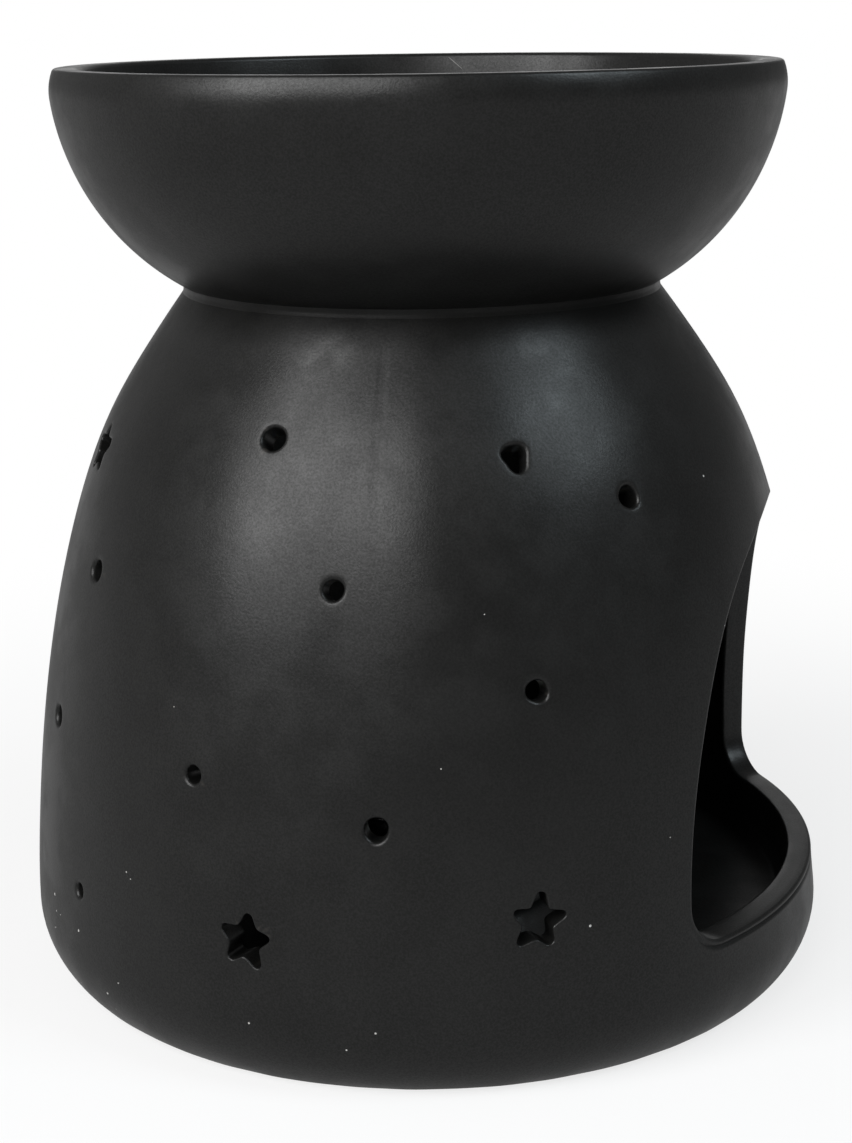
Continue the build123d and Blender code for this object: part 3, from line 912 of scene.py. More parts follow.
def windowed(sizes, openings, sides, rises):
    """The window in the same form, with the groove under its sill."""
    outline = window_outline(sizes, openings)
    sill, edge = openings.sill_height, openings.window_softness
    middle = sill + WINDOW_MIDDLE * openings.window_height
    groove = GROOVE_DEPTH * (1 - smooth((outline[:, 1] - sill) / GROOVE_FADE))
    outline[:, 1] -= middle
    over = edge + WINDOW_MARGIN
    wide = openings.window_half_angle + over / sizes.base_radius
    top = sill + openings.window_height
    cells = cells_round(pi / 2 - wide, pi / 2 + wide, sill - over, top + over, rises)
    return WindowLines(sizes.base_radius, middle, sides), outline, edge, (cells, cells), groove


def dome_shape(sizes, openings):
    """Two sheets on a grid of turns and heights, outside and inside, joined by level rings at the tray and
    at the seat, with a patch of rings in place of the cells round each opening."""
    sides = (Wall(chamber_outline(sizes), True), Wall(chamber_lining(sizes), False))
    rises = np.linspace(sizes.tray_height, sizes.neck_height, DOME_ROWS + 1)
    turn_grid, rise_grid = np.meshgrid(np.arange(COLUMNS) * 2 * pi / COLUMNS, rises)
    sheets = [around(side.radius(turn_grid, rise_grid), turn_grid, rise_grid) for side in sides]
    points = np.concatenate(sheets).reshape(-1, 3)
    grid = np.arange(len(points)).reshape(2, DOME_ROWS + 1, COLUMNS)
    taken = np.zeros((2, DOME_ROWS, COLUMNS * 2), bool)
    made, quads, triangles, count = [points], [], [], len(points)
    all_openings = [*pierced(sizes, openings, sides, rises), windowed(sizes, openings, sides, rises)]
    for index, opening in enumerate(all_openings):
        rings, more_quads, more_triangles = opening_patch(index, *opening, grid, taken, points, count)
        made.append(rings)
        quads.append(more_quads)
        triangles.append(more_triangles)
        count += len(rings)
    left = ~(taken[:, :, :COLUMNS] | taken[:, :, COLUMNS:]).reshape(2, -1)
    ends = [strip(np.stack([grid[0][row], grid[1][row]])) for row in (0, -1)]
    faces = [strip(grid[0])[left[0]], strip(grid[1])[left[1]][:, ::-1], ends[1], ends[0][:, ::-1], *quads]
    return np.concatenate(made), np.concatenate(faces), np.concatenate(triangles)


# The tealight


def cup_shape(sizes):
    """The cup's profile goes out under its bottom, up the wall, round the rolled edge and down the inside.
    Its wall is drawn into flutes: a cosine of the turn, which fades out towards the bead and the bottom
    corner."""
    low, corner = CUP_LOW.z, CUP_CORNER
    outer, wall, bead = sizes.cup_radius, sizes.cup_wall, sizes.cup_bead
    mid = (outer - wall + bead, sizes.cup_top - bead)
    below_bead = mid[1] - BEAD_STRIP
    out_join = asin(min(1.0, (outer - mid[0]) / bead))
    pressed = [(outer * part, low + lift) for part, lift in CUP_BOTTOM]
    profile = joined(
        run((0, pressed[0][1]), pressed[0], 6),
        run(pressed[1], pressed[2], 10),
        run(pressed[3], (outer - corner, low), 3),
        arc((outer - corner, low + corner), corner, -pi / 2, 0, 7),
        run((outer, low + corner + CUP_STRIP), (outer, below_bead - bead * cos(out_join)), 20),
        arc(mid, bead, -pi / 2 + out_join, pi, 14),
        run((outer - wall, below_bead), (outer - wall, low + CUP_INSIDE), 18),
        arc((outer - corner, low + corner), corner - wall, 0, -pi / 2, 6),
        run((outer - corner - wall, low + wall), (0, low + wall), 8),
    )

    def fluted(radius, turns, rise):
        up = np.clip((rise - low - FLUTE_START) / FLUTE_RISE, 0, 1)
        up = up * np.clip((below_bead - rise) / FLUTE_FALL, 0, 1)
        on_wall = np.clip((radius - (outer - wall - 2 * FLUTE_SIDE)) / FLUTE_SIDE, 0, 1)
        depth = sizes.flute_depth * (0.8 + 0.2 * np.sin(5 * turns + 1))
        wave = 0.5 - 0.5 * np.cos(sizes.flutes * turns + 0.15 * np.sin(9 * turns))
        return radius - smooth(up) * on_wall * depth * wave, rise

    return spun(profile, columns=sizes.flutes * 8, shift=fluted)


def wax_shape(sizes):
    """The wax is cast round the wick and its tin foot. Its top dips by the square of a sine between the
    wick and the edge, climbs a little at both, and sinks more to one side, as wax does when it sets."""
    low, top, outer = WAX_LOW.z, sizes.wax_top, sizes.wax_radius
    bore = sizes.wick_radius + WICK_ROOM
    profile = joined(
        [(FOOT_DISC, low)],
        run((FOOT_DISC + WAX_FOOT, low), (outer - WAX_FOOT, low), 5),
        arc((outer - WAX_FOOT, low + WAX_FOOT), WAX_FOOT, -pi / 2, 0, 6),
        run((outer, low + 1.6 * WAX_FOOT), (outer, top - 1.4 * WAX_FOOT), 8),
        arc((outer - WAX_EDGE, top - WAX_EDGE), WAX_EDGE, 0, pi / 2, 7),
        run((outer - WAX_EDGE, top), (bore + WAX_RIM, top), 26),
        [(bore, top - 0.5 * WAX_RIM)],
        run((bore, top - 3 * WAX_RIM), (bore, low + COLLAR_RISE), 5),
        [(bore + COLLAR_WALL, low + COLLAR_RISE - WICK_ROOM)],
        run((COLLAR_FOOT, low + FOOT_SHEET), (FOOT_DISC, low + FOOT_SHEET), 4),
    )

    def set_wax(radius, turns, rise):
        inside = (rise > top - DIP_BAND) & (radius < outer - WAX_EDGE / 2)
        part = np.clip((radius - bore) / (outer - bore), 0, 1)
        dip = sizes.wax_dip * np.sin(pi * part**0.8) ** 2 * (1 + 0.25 * np.sin(turns + 0.7))
        dip = dip + WAX_WAVE * np.sin(3 * turns + 9 * part) * np.sin(pi * part)
        return radius, rise - np.where(inside, np.maximum(dip, 0), 0)

    return spun(profile, columns=144, shift=set_wax)


def wick_shape(sizes):
    """A braid of three strands: the radius is the braid's, less a little where the strands' crossing waves,
    sine of the turn plus and minus the height, are low. Above the wax the line leans by the square of the
    height."""
    low, top, radius = WICK_LOW.z, sizes.wick_top, sizes.wick_radius
    profile = joined(
        [(0, low)],
        run((radius, low), (radius, top - radius / 2), 64),
        arc((radius / 2, top - radius / 2), radius / 2, 0, pi / 2, 5)[1:],
        [(0, top - radius * 0.08)],
    )

    def braided(radii, turns, rise):
        across, up = 1.5 * turns, pi * rise / BRAID_PITCH
        over = np.abs(np.sin(across + up)) + np.abs(np.sin(across - up))
        return radii * (0.84 + 0.08 * over), rise

    points, quads, triangles = spun(profile, columns=36, shift=braided)
    lift = np.clip((points[:, 2] - sizes.wax_top) / (top - sizes.wax_top), 0, 1)
    points[:, :2] += lift[:, None] ** 2 * TIP_LEAN
    return points, quads, triangles


# Materials


class Nodes:
    """A node tree, with short ways to put nodes into it."""

    def __init__(self, tree):
        self.tree = tree

    def put(self, value, socket):
        """Links another node's socket to this one, or sets this one to a plain value."""
        if isinstance(value, bpy.types.NodeSocket):
            self.tree.links.new(value, socket)
        else:
            socket.default_value = value

    def add(self, kind, sockets, **settings):
        """A node with its settings and what goes into its sockets."""
        made = self.tree.nodes.new(kind)
        for key, value in settings.items():
            setattr(made, key, value)
        for key, value in sockets.items():
            self.put(value, made.inputs[key])
        made.location = (len(self.tree.nodes) * 190 - 1600, -60 * (len(self.tree.nodes) % 5))
        return made

    def maths(self, operation, first, second=0.0, third=0.0):
        return self.add("ShaderNodeMath", {0: first, 1: second, 2: third}, operation=operation).outputs[0]

    def times(self, first, second):
        return self.maths("MULTIPLY", first, second)

    def larger(self, first, second):
        return self.maths("MAXIMUM", first, second)

    def gap(self, first, second):
        """The size of the difference of two numbers."""
        return self.maths("ABSOLUTE", self.maths("SUBTRACT", first, second))

    def vectors(self, operation, first, second=(0.0, 0.0, 0.0)):
        """A number worked out from two vectors."""
        return self.add("ShaderNodeVectorMath", {0: first, 1: second}, operation=operation).outputs["Value"]

    def ramp(self, value, low, high, to_low=0.0, to_high=1.0):
        """A smooth step from one value to another between two limits."""
        sockets = {"Value": value, "From Min": low, "From Max": high, "To Min": to_low, "To Max": to_high}
        return self.add("ShaderNodeMapRange", sockets, interpolation_type="SMOOTHSTEP").outputs["Result"]

    def mix(self, factor, first, second):
        """A colour between two others."""
        return self.add("ShaderNodeMix", {0: factor, 6: first, 7: second}, data_type="RGBA").outputs[2]

    def spot(self):
        """The shaded point in the object's own coordinates."""
        return self.add("ShaderNodeTexCoord", {}).outputs["Object"]

    def noise(self, vector, scale, detail, roughness=0.5):
        sockets = {"Vector": vector, "Scale": scale, "Detail": detail, "Roughness": roughness}
        return self.add("ShaderNodeTexNoise", sockets).outputs[0]

    def stretched(self, scale, detail):
        """Noise with its own scale along each axis."""
        made = self.add("ShaderNodeMapping", {"Vector": self.spot(), "Scale": scale})
        return self.noise(made.outputs[0], 1.0, detail)

    def group(self, group, *values):
        """A group's outputs, with its inputs set in their order."""
        return self.add("ShaderNodeGroup", dict(enumerate(values)), node_tree=group).outputs

    def bump(self, shader, height, strength, distance):
        made = self.add("ShaderNodeBump", {"Height": height, "Strength": strength, "Distance": distance})
        self.tree.links.new(made.outputs[0], shader.inputs["Normal"])

    def nearest(self, spot, places):
        """The distance from a point to the nearest of some fixed places, each over the place's own size."""
        best = 1.0
        for place, size in places:
            away = self.vectors("DISTANCE", spot, place.tolist())
            best = self.maths("MINIMUM", self.maths("DIVIDE", away, size), best)
        return best


def group_once(name, inputs, outputs, fill):
    """The node group of that name. The first time, it is made with named float inputs and outputs, and
    fill, which gets its nodes and its input sockets, gives what goes to its outputs."""
    if name not in bpy.data.node_groups:
        tree = bpy.data.node_groups.new(name, "ShaderNodeTree")
        for labels, end in ((inputs, "INPUT"), (outputs, "OUTPUT")):
            for label in labels:
                tree.interface.new_socket(label, in_out=end, socket_type="NodeSocketFloat")
        given, put = tree.nodes.new("NodeGroupInput"), tree.nodes.new("NodeGroupOutput")
        for number, result in enumerate(fill(Nodes(tree), given.outputs)):
            tree.links.new(result, put.inputs[number])
    return bpy.data.node_groups[name]


def grain_group():
    """Skin of a fired or cast surface: fine grain and slow dimples as one height, a slow mottle, and the
    grain alone, from noise in three sizes on the object's own coordinates."""

    def fill(nodes, given):
        spot = nodes.spot()
        fine = nodes.noise(spot, given[0], 2.0, 0.6)
        dimple = nodes.noise(spot, given[1], 3.0, 0.55)
        mottle = nodes.noise(spot, given[2], 4.0, 0.6)
        return nodes.maths("MULTIPLY_ADD", fine, given[3], dimple), nodes.ramp(mottle, 0.3, 0.7), fine

    inputs = ("Grain per metre", "Dimples per metre", "Mottle per metre", "Grain share")
    return group_once("Cast skin", inputs, ("Height", "Mottle", "Grain"), fill)


def speck_group():
    """Specks: a mask that is one inside the few cells of a Voronoi pattern that a random share picks, where
    the distance to the cell's point is below the speck's size."""

    def fill(nodes, given):
        spot = nodes.spot()
        bent = nodes.noise(spot, 1600.0, 1.0)
        cell = nodes.add("ShaderNodeTexVoronoi", {"Vector": spot, "Scale": given[0]}).outputs
        pick = nodes.add("ShaderNodeSeparateColor", {0: cell["Color"]}).outputs
        size = nodes.times(given[1], nodes.maths("ADD", bent, pick[1]))
        near = nodes.maths("LESS_THAN", cell["Distance"], size)
        return (nodes.times(near, nodes.maths("LESS_THAN", pick[0], given[2])),)

    return group_once("Specks", ("Cells per metre", "Speck size", "Share"), ("Mask",), fill)


def edge_group():
    """Worn or thin edges: the pointiness of the mesh above its flat value, broken up by noise."""

    def fill(nodes, given):
        rough = nodes.maths("SUBTRACT", nodes.noise(nodes.spot(), 420.0, 3.0), 0.5)
        point = nodes.add("ShaderNodeNewGeometry", {}).outputs["Pointiness"]
        return (nodes.ramp(nodes.maths("MULTIPLY_ADD", rough, 0.08, point), given[0], given[1]),)

    return group_once("Thin edges", ("From", "To"), ("Mask",), fill)


def on_outside(sizes, spots):
    """Places on the chamber's outside and on the foot's roll below it, each with its size."""
    outside, roll = chamber_outline(sizes), foot_roll(sizes)
    places = []
    for turn, rise, size in spots:
        turn = radians(turn)
        if rise < sizes.foot_roll_height:
            radius = sizes.base_radius - roll + sqrt(roll**2 - (sizes.foot_roll_height - rise) ** 2)
        else:
            radius = float(radius_at(outside, rise))
        places.append((around(radius - hand_ripple(turn, rise), turn, rise), size))
    return places


def blemish_group(sizes):
    """Single specks at their places, fine dust on the foot's roll at one side, a fibre on the bowl's
    inside, the mould's seam, which is a narrow upright groove in the height, and ragged patches where the
    glaze ran thick. The fibre is where the distances to its two ends add up to its length."""

    def fill(nodes, _):
        spot = nodes.spot()
        x, y, z = nodes.add("ShaderNodeSeparateXYZ", {0: spot}).outputs
        single = nodes.maths("LESS_THAN", nodes.nearest(spot, on_outside(sizes, SPECKS)), SPECK_RADIUS)

        inset, turn, rise = DUSTY
        dusty = around(sizes.base_radius - inset, radians(turn), rise)
        near = nodes.ramp(nodes.vectors("DISTANCE", spot, dusty.tolist()), *DUST_REACH, 1.0, 0.0)
        fine = nodes.group(speck_group(), *DUST_SPECKS)[0]
        dust = nodes.times(fine, nodes.maths("GREATER_THAN", near, 0.35))

        level = nodes.add("ShaderNodeCombineXYZ", {0: x, 2: z}).outputs[0]
        ends = [(across, 0.0, sizes.height - drop) for across, drop in FIBRE_ENDS]
        length = sqrt((ends[0][0] - ends[1][0]) ** 2 + (ends[0][2] - ends[1][2]) ** 2)
        both = nodes.maths("ADD", *(nodes.vectors("DISTANCE", level, end) for end in ends))
        fibre = nodes.maths("LESS_THAN", both, length * FIBRE_FIT)
        inner = sizes.bowl_radius - sizes.bowl_wall
        fibre = nodes.times(fibre, nodes.maths("COMPARE", y, inner, FIBRE_DEPTH))
        specks = nodes.larger(nodes.larger(single, dust), nodes.times(fibre, FIBRE_PALENESS))

        beside = nodes.gap(nodes.maths("ARCTAN2", x, nodes.times(y, -1.0)), SEAM_TURN)
        seam = nodes.times(nodes.ramp(beside, *SEAM_WIDTH, 1.0, 0.0), nodes.ramp(z, *SEAM_START))
        seam = nodes.times(seam, nodes.ramp(nodes.noise(spot, 130.0, 2.0), 0.35, 0.6, 0.15, 1.0))
        seam = nodes.times(seam, nodes.ramp(z, *SEAM_END, 1.0, 0.0))

        patch = nodes.ramp(nodes.nearest(spot, on_outside(sizes, RUNS)), *RUN_REACH, 1.0, 0.0)
        ragged = nodes.ramp(nodes.noise(spot, 380.0, 4.0), 0.35, 0.65)
        return specks, seam, nodes.times(ragged, patch)

    return group_once("Blemishes", (), ("Specks", "Seam", "Runs"), fill)


def new_material(name, roughness, metallic=0.0, specular=0.5):
    """A material, its nodes and its shader."""
    material = bpy.data.materials.new(name)
    material.use_nodes = True
    shader = material.node_tree.nodes["Principled BSDF"]
    shader.inputs["Roughness"].default_value = roughness
    shader.inputs["Metallic"].default_value = metallic
    shader.inputs["Specular IOR Level"].default_value = specular
    return material, Nodes(material.node_tree), shader


def shaded(colour, part):
    """A colour times a number."""
    return tuple(c * part for c in colour[:3]) + (1.0,)


def glaze_material(sizes, colours):
    """Satin black glaze: nearly black, mottled in sheen, with a fine grain, thinner on sharp edges, with
    painted shade in the crease under the bowl, where its specular level is lowered, dusted with a few pale
    specks, and missing on the ring that stands on the table."""
    name = "Satin black glaze"
    if name in bpy.data.materials:
        return bpy.data.materials[name]
    material, nodes, shader = new_material(name, 0.35, specular=0.34)
    height, mottle, fine = nodes.group(grain_group(), *GLAZE_SKIN)
    specks, seam, runs = nodes.group(blemish_group(sizes))
    spot = nodes.spot()
    rise = nodes.add("ShaderNodeSeparateXYZ", {0: spot}).outputs[2]
    bare = nodes.ramp(rise, *BARE_RISE, 1.0, 0.0)
    pale = nodes.larger(nodes.group(speck_group(), *GLAZE_SPECKS)[0], specks)
    from_joint = nodes.ramp(nodes.gap(rise, sizes.tray_height), *WORN_FROM, 0.0, WORN)
    worn = nodes.times(nodes.group(edge_group(), *WORN_EDGE)[0], from_joint)
    body = nodes.mix(mottle, shaded(colours.glaze, GLAZE_DEEP), tuple(colours.glaze))
    for part, colour in ((worn, colours.thin_glaze), (pale, colours.dust), (bare, colours.clay)):
        body = nodes.mix(part, body, tuple(colour))
    nodes.put(body, shader.inputs["Base Color"])
    dull = nodes.times(nodes.larger(bare, pale), CLAY_ROUGHNESS)
    nodes.put(nodes.larger(nodes.ramp(mottle, 0.0, 1.0, *GLAZE_SATIN), dull), shader.inputs["Roughness"])
    # Painted shade: the specular level is lowered in the crease under the bowl and on the dome's top, where
    # shade falls
    shine_left_in_shade = nodes.ramp(nodes.noise(spot, 40.0, 2.0), 0.38, 0.6, *PAINTED_SHADE_SHINE)
    painted_crease_shade = nodes.ramp(nodes.gap(rise, sizes.neck_height), *PAINTED_SHADE_REACH, shine_left_in_shade, 1.0)
    sparkle = nodes.times(nodes.ramp(fine, 0.3, 0.7, *SHINE), painted_crease_shade)
    sparkle = nodes.times(sparkle, nodes.maths("MULTIPLY_ADD", runs, RUN_SHINE, 1.0))
    nodes.put(sparkle, shader.inputs["Specular IOR Level"])
    nodes.bump(shader, nodes.maths("MULTIPLY_ADD", seam, -0.55, height), 0.42, 0.0001)
    return material


def aluminium_material(colours):
    """Thin drawn aluminium: bright, with fine lines round the axis from the drawing and a few dull
    patches."""
    material, nodes, shader = new_material("Drawn aluminium", 0.2, metallic=1.0)
    height, mottle, _ = nodes.group(grain_group(), *CUP_SKIN)
    body = nodes.mix(mottle, shaded(colours.aluminium, CUP_DULL), tuple(colours.aluminium))
    nodes.put(body, shader.inputs["Base Color"])
    nodes.put(nodes.ramp(mottle, 0.0, 1.0, *CUP_SATIN), shader.inputs["Roughness"])
    lines = nodes.stretched((120.0, 120.0, 5200.0), 2.0)
    nodes.bump(shader, nodes.maths("MULTIPLY_ADD", lines, 0.6, height), 0.2, 0.00005)
    return material


def wax_material(colours):
    """White paraffin: slightly translucent, soft sheen, faint crystals and a little clouding."""
    material, nodes, shader = new_material("Paraffin wax", 0.38, specular=0.45)
    shader.inputs["Subsurface Weight"].default_value = 0.35
    shader.inputs["Subsurface Radius"].default_value = (1.0, 0.85, 0.6)
    shader.inputs["Subsurface Scale"].default_value = 0.004
    height, mottle, _ = nodes.group(grain_group(), *WAX_SKIN)
    specks = nodes.group(speck_group(), *WAX_SPECKS)[0]
    body = nodes.mix(mottle, shaded(colours.wax, WAX_CLOUDY), tuple(colours.wax))
    nodes.put(nodes.mix(specks, body, tuple(colours.wax_speck)), shader.inputs["Base Color"])
    nodes.put(nodes.ramp(mottle, 0.0, 1.0, *WAX_SATIN), shader.inputs["Roughness"])
    nodes.bump(shader, height, 0.3, 0.0001)
    return material


def cotton_material(colours):
    """Waxed cotton: fine fibres that run up the braid, darker between the strands."""
    material, nodes, shader = new_material("Waxed cotton", 0.72, specular=0.3)
    shader.inputs["Sheen Weight"].default_value = 0.3
    height, mottle, _ = nodes.group(grain_group(), *COTTON_SKIN)
    fibre = nodes.stretched((9000.0, 9000.0, 1400.0), 3.0)
    strand = nodes.ramp(fibre, 0.3, 0.6)
    body = nodes.mix(strand, shaded(colours.cotton, COTTON_SHADE), tuple(colours.cotton))
    nodes.put(body, shader.inputs["Base Color"])
    nodes.put(nodes.ramp(mottle, 0.0, 1.0, *COTTON_SATIN), shader.inputs["Roughness"])
    nodes.bump(shader, nodes.maths("ADD", fibre, height), 0.6, 0.0001)
    return material


def tin_material(colours):
    """Stamped tinplate: brushed rings round the wick, duller in patches."""
    material, nodes, shader = new_material("Stamped tinplate", 0.36, metallic=1.0)
    height, mottle, _ = nodes.group(grain_group(), *TIN_SKIN)
    wave = {"Vector": nodes.spot(), "Scale": 1500.0, "Distortion": 1.5, "Detail": 2.0}
    rings = nodes.add("ShaderNodeTexWave", wave, wave_type="RINGS", rings_direction="Z").outputs[1]
    body = nodes.mix(mottle, shaded(colours.tin, TIN_DULL), tuple(colours.tin))
    nodes.put(body, shader.inputs["Base Color"])
    nodes.put(nodes.ramp(rings, 0.0, 1.0, *TIN_SATIN), shader.inputs["Roughness"])
    nodes.bump(shader, nodes.maths("MULTIPLY_ADD", rings, 0.3, height), 0.25, 0.00005)
    return material


# The studio


def seen(nodes, path):
    """One for what the camera, a reflection or a clear piece looks at, and nothing for light that falls on
    things."""
    direct = nodes.larger(path["Is Camera Ray"], path["Is Glossy Ray"])
    return nodes.larger(direct, path["Is Transmission Ray"])


def floor_material(colour):
    """A pale floor that keeps the shadow near the burner and turns into the white background further
    out."""
    material, nodes, shader = new_material("Pale floor", 0.9, specular=0.2)
    spot, path = nodes.spot(), nodes.add("ShaderNodeLightPath", {}).outputs
    body = nodes.mix(nodes.noise(spot, 60.0, 3.0), shaded(colour, FLOOR_SHADE), tuple(colour))
    nodes.put(body, shader.inputs["Base Color"])
    distance = nodes.vectors("LENGTH", spot)
    far = nodes.times(nodes.ramp(distance, *FLOOR_FADE, *FLOOR_WHITE), seen(nodes, path))
    far = nodes.larger(far, nodes.times(path["Is Glossy Ray"], FLOOR_MIRRORED))
    level = nodes.larger(path["Is Camera Ray"], nodes.ramp(distance, *FLOOR_PALING, *FLOOR_GREYS))
    white = nodes.add("ShaderNodeEmission", {"Color": WHITE, "Strength": level}).outputs[0]
    both = nodes.add("ShaderNodeMixShader", {0: far, 1: shader.outputs[0], 2: white}).outputs[0]
    nodes.put(both, nodes.tree.nodes["Material Output"].inputs[0])
    return material


def white_surroundings(scene, level):
    """The world lights things evenly at its level and is white to look at. Reflections and clear pieces see
    the walls of a grey room, paler on the left, with a white screen low behind the burner."""
    world = bpy.data.worlds.new("White room")
    scene.world = world
    world.use_nodes = True
    nodes = Nodes(world.node_tree)
    light = world.node_tree.nodes["Background"]
    light.inputs["Color"].default_value = WHITE
    light.inputs["Strength"].default_value = level
    path = nodes.add("ShaderNodeLightPath", {}).outputs
    way = nodes.add("ShaderNodeTexCoord", {}).outputs["Generated"]
    screen = nodes.ramp(nodes.vectors("DOT_PRODUCT", way, SCREEN_WAY), *SCREEN_EDGE)
    paler = nodes.vectors("DOT_PRODUCT", way, PALER_WAY)
    room = nodes.larger(nodes.ramp(paler, *PALER_EDGE, ROOM_GREY, 2 * ROOM_GREY), screen)
    wall = nodes.larger(path["Is Camera Ray"], room)
    looked_at = nodes.add("ShaderNodeBackground", {"Color": WHITE, "Strength": wall}).outputs[0]
    both = nodes.add("ShaderNodeMixShader", {0: seen(nodes, path), 1: light.outputs[0], 2: looked_at})
    nodes.put(both.outputs[0], world.node_tree.nodes["World Output"].inputs[0])


def soft_lamp(scene, name, power, turn, lift, width, height, colour):
    """A soft box that faces the burner's middle, from a turn and an elevation in degrees."""
    data = bpy.data.lights.new(name, "AREA")
    data.shape, data.size, data.size_y, data.energy, data.color = "RECTANGLE", width, height, power, colour
    lamp = bpy.data.objects.new(name, data)
    scene.collection.objects.link(lamp)
    turn, lift = radians(turn), radians(lift)
    level = LAMP_DISTANCE * cos(lift)
    lamp.location = (level * sin(turn), -level * cos(turn), LAMP_DISTANCE * sin(lift) + LAMP_AIM)
    lamp.rotation_euler = (pi / 2 - lift, 0.0, turn)


def studio_floor(scene, colour):
    """A disc in rings of faces round its middle, with its face up."""
    ring = np.arange(FLOOR_COLUMNS) * 2 * pi / FLOOR_COLUMNS
    radii = np.array(FLOOR_RINGS)[:, None]
    points = np.concatenate([np.zeros((1, 3)), around(radii, ring[None], 0.0).reshape(-1, 3)])
    index = 1 + np.arange(len(points) - 1).reshape(len(radii), -1)
    faces = strip(index)[:, ::-1].tolist()
    faces += np.stack([index[0], np.roll(index[0], -1), 0 * index[0]], 1).tolist()
    mesh = bpy.data.meshes.new("studio_floor")
    mesh.from_pydata(points.tolist(), [], faces)
    mesh.materials.append(floor_material(colour))
    floor = bpy.data.objects.new("studio_floor", mesh)
    scene.collection.objects.link(floor)


def camera_at_photograph(scene, lens):
    """The camera, where it sees the burner as the photograph does."""
    data = bpy.data.cameras.new("Photograph")
    data.lens, data.sensor_width, data.clip_start, data.clip_end = lens, 36.0, 0.01, 20.0
    camera = bpy.data.objects.new("Photograph", data)
    scene.collection.objects.link(camera)
    camera.location = CAMERA_PLACE
    camera.rotation_euler = [radians(angle) for angle in CAMERA_TURNS]
    scene.camera = camera


# Operators


class BURNER_OT_base_tray(bpy.types.Operator):
    """Make the tray with its rolled foot and its flat rim"""

    bl_idname = "burner.base_tray"
    bl_label = "Base Tray"

    def execute(self, context):
        settings = context.scene.oil_burner
        shape = tray_shape(settings.ceramic)
        glaze = glaze_material(settings.ceramic, settings.finishes)
        make_piece("base_tray_glazed", shape, glaze, "burner", ["base_tray"])
        return {"FINISHED"}


class BURNER_OT_chamber_dome(bpy.types.Operator):
    """Make the bell-shaped chamber with its window, holes and stars"""

    bl_idname = "burner.chamber_dome"
    bl_label = "Chamber Dome"

    def execute(self, context):
        settings = context.scene.oil_burner
        shape = dome_shape(settings.ceramic, settings.openings)
        glaze = glaze_material(settings.ceramic, settings.finishes)
        make_piece("chamber_dome_glazed", shape, glaze, "burner", ["chamber_dome"])
        return {"FINISHED"}


class BURNER_OT_oil_bowl(bpy.types.Operator):
    """Make the bowl for water and oil"""

    bl_idname = "burner.oil_bowl"
    bl_label = "Oil Bowl"

    def execute(self, context):
        settings = context.scene.oil_burner
        shape = bowl_shape(settings.ceramic)
        glaze = glaze_material(settings.ceramic, settings.finishes)
        make_piece("oil_bowl_glazed", shape, glaze, "burner", ["oil_bowl"])
        return {"FINISHED"}


class BURNER_OT_tealight_cup(bpy.types.Operator):
    """Make the fluted aluminium cup of the tealight"""

    bl_idname = "burner.tealight_cup"
    bl_label = "Tealight Cup"

    def execute(self, context):
        settings = context.scene.oil_burner
        shape, metal = cup_shape(settings.tealight), aluminium_material(settings.finishes)
        make_piece("tealight_cup_drawn", shape, metal, "tealight", ["tealight_cup"])
        return {"FINISHED"}


class BURNER_OT_tealight_wax(bpy.types.Operator):
    """Make the wax, cast round the wick and its foot"""

    bl_idname = "burner.tealight_wax"
    bl_label = "Tealight Wax"

    def execute(self, context):
        settings = context.scene.oil_burner
        shape, wax = wax_shape(settings.tealight), wax_material(settings.finishes)
        make_piece("tealight_wax_cast", shape, wax, "candle", ["tealight_wax"])
        return {"FINISHED"}


class BURNER_OT_wick(bpy.types.Operator):
    """Make the braided wick"""

    bl_idname = "burner.wick"
    bl_label = "Wick"

    def execute(self, context):
        settings = context.scene.oil_burner
        shape, cotton = wick_shape(settings.tealight), cotton_material(settings.finishes)
        make_piece("wick_braid", shape, cotton, "candle", ["wick"], 60)
        return {"FINISHED"}


class BURNER_OT_wick_sustainer(bpy.types.Operator):
    """Give the wick's tin foot its finish"""

    bl_idname = "burner.wick_sustainer"
    bl_label = "Wick Sustainer"

    def execute(self, context):
        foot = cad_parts["wick_sustainer"]
        foot.data.materials.clear()
        foot.data.materials.append(tin_material(context.scene.oil_burner.finishes))
        return {"FINISHED"}


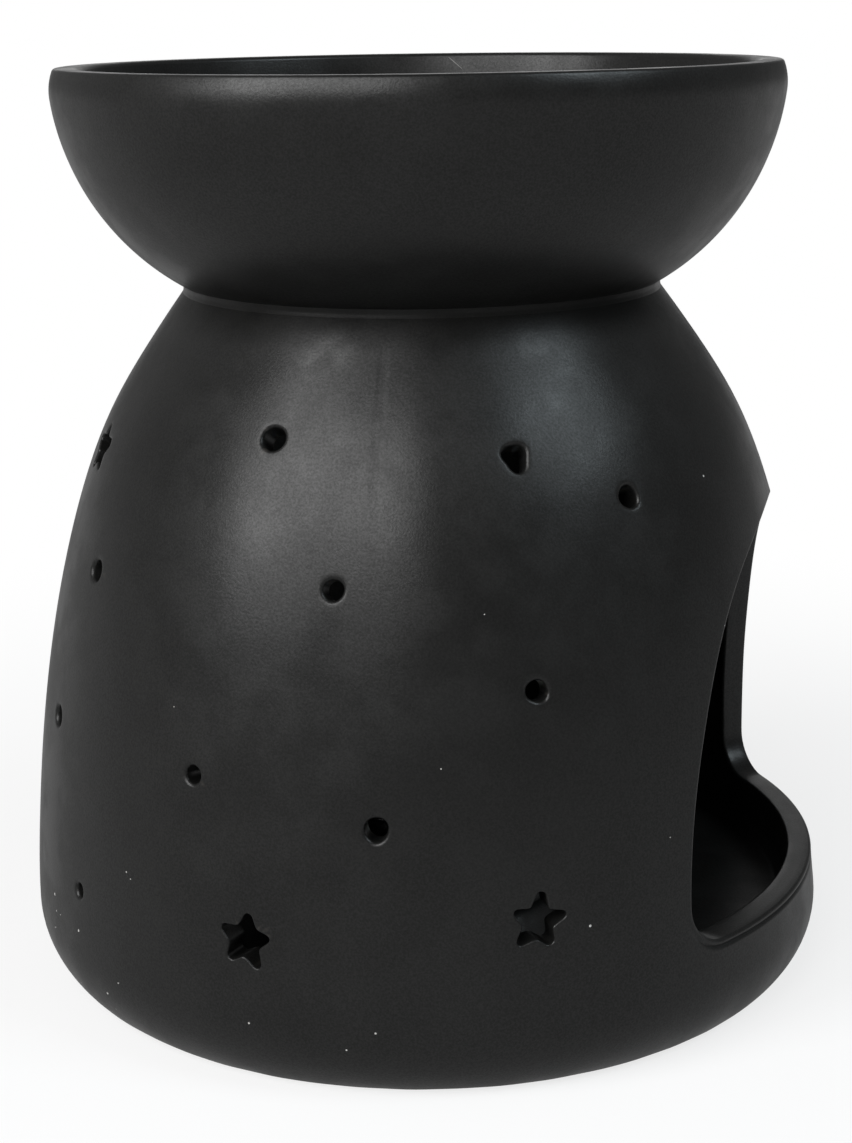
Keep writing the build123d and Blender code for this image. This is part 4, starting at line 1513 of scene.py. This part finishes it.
class BURNER_OT_stage(bpy.types.Operator):
    """Make the pale floor, the white surroundings, the soft lamps and the camera"""

    bl_idname = "burner.stage"
    bl_label = "Studio"

    def execute(self, context):
        scene, studio = context.scene, context.scene.oil_burner.studio
        studio_floor(scene, studio.floor)
        white_surroundings(scene, studio.daylight)
        for name, power, *rest in LAMPS:
            soft_lamp(scene, name, getattr(studio, power), *rest)
        camera_at_photograph(scene, studio.lens)
        scene.view_settings.view_transform = "Standard"
        return {"FINISHED"}


OPERATORS = (
    BURNER_OT_base_tray, BURNER_OT_chamber_dome, BURNER_OT_oil_bowl, BURNER_OT_tealight_cup,
    BURNER_OT_tealight_wax, BURNER_OT_wick, BURNER_OT_wick_sustainer, BURNER_OT_stage,
)


class BURNER_PT_panel(bpy.types.Panel):
    """Lists the burner's pieces and their settings"""

    bl_idname = "BURNER_PT_panel"
    bl_label = "Oil Burner"
    bl_space_type = "VIEW_3D"
    bl_region_type = "UI"
    bl_category = "Oil Burner"

    def draw(self, context):
        settings = context.scene.oil_burner
        for operator in OPERATORS:
            self.layout.operator(operator.bl_idname)
        for title in Workshop.__annotations__:
            group = getattr(settings, title)
            box = self.layout.box()
            box.label(text=title.capitalize())
            for key in group.__annotations__:
                box.prop(group, key)


GROUPS = (CeramicSizes, OpeningSizes, TealightSizes, Finishes, Studio, Workshop)
CLASSES = (*GROUPS, *OPERATORS, BURNER_PT_panel)


def register():
    for one in CLASSES:
        bpy.utils.register_class(one)
    bpy.types.Scene.oil_burner = bpy.props.PointerProperty(type=Workshop)


def unregister():
    del bpy.types.Scene.oil_burner
    for one in reversed(CLASSES):
        bpy.utils.unregister_class(one)


def main():
    """Registers the classes, and makes every piece and the studio."""
    register()
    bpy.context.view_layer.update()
    make = bpy.ops.burner
    for one in (
        make.base_tray, make.chamber_dome, make.oil_bowl, make.tealight_cup, make.tealight_wax, make.wick,
        make.wick_sustainer, make.stage,
    ):
        one()


if __name__ == "__main__":
    main()
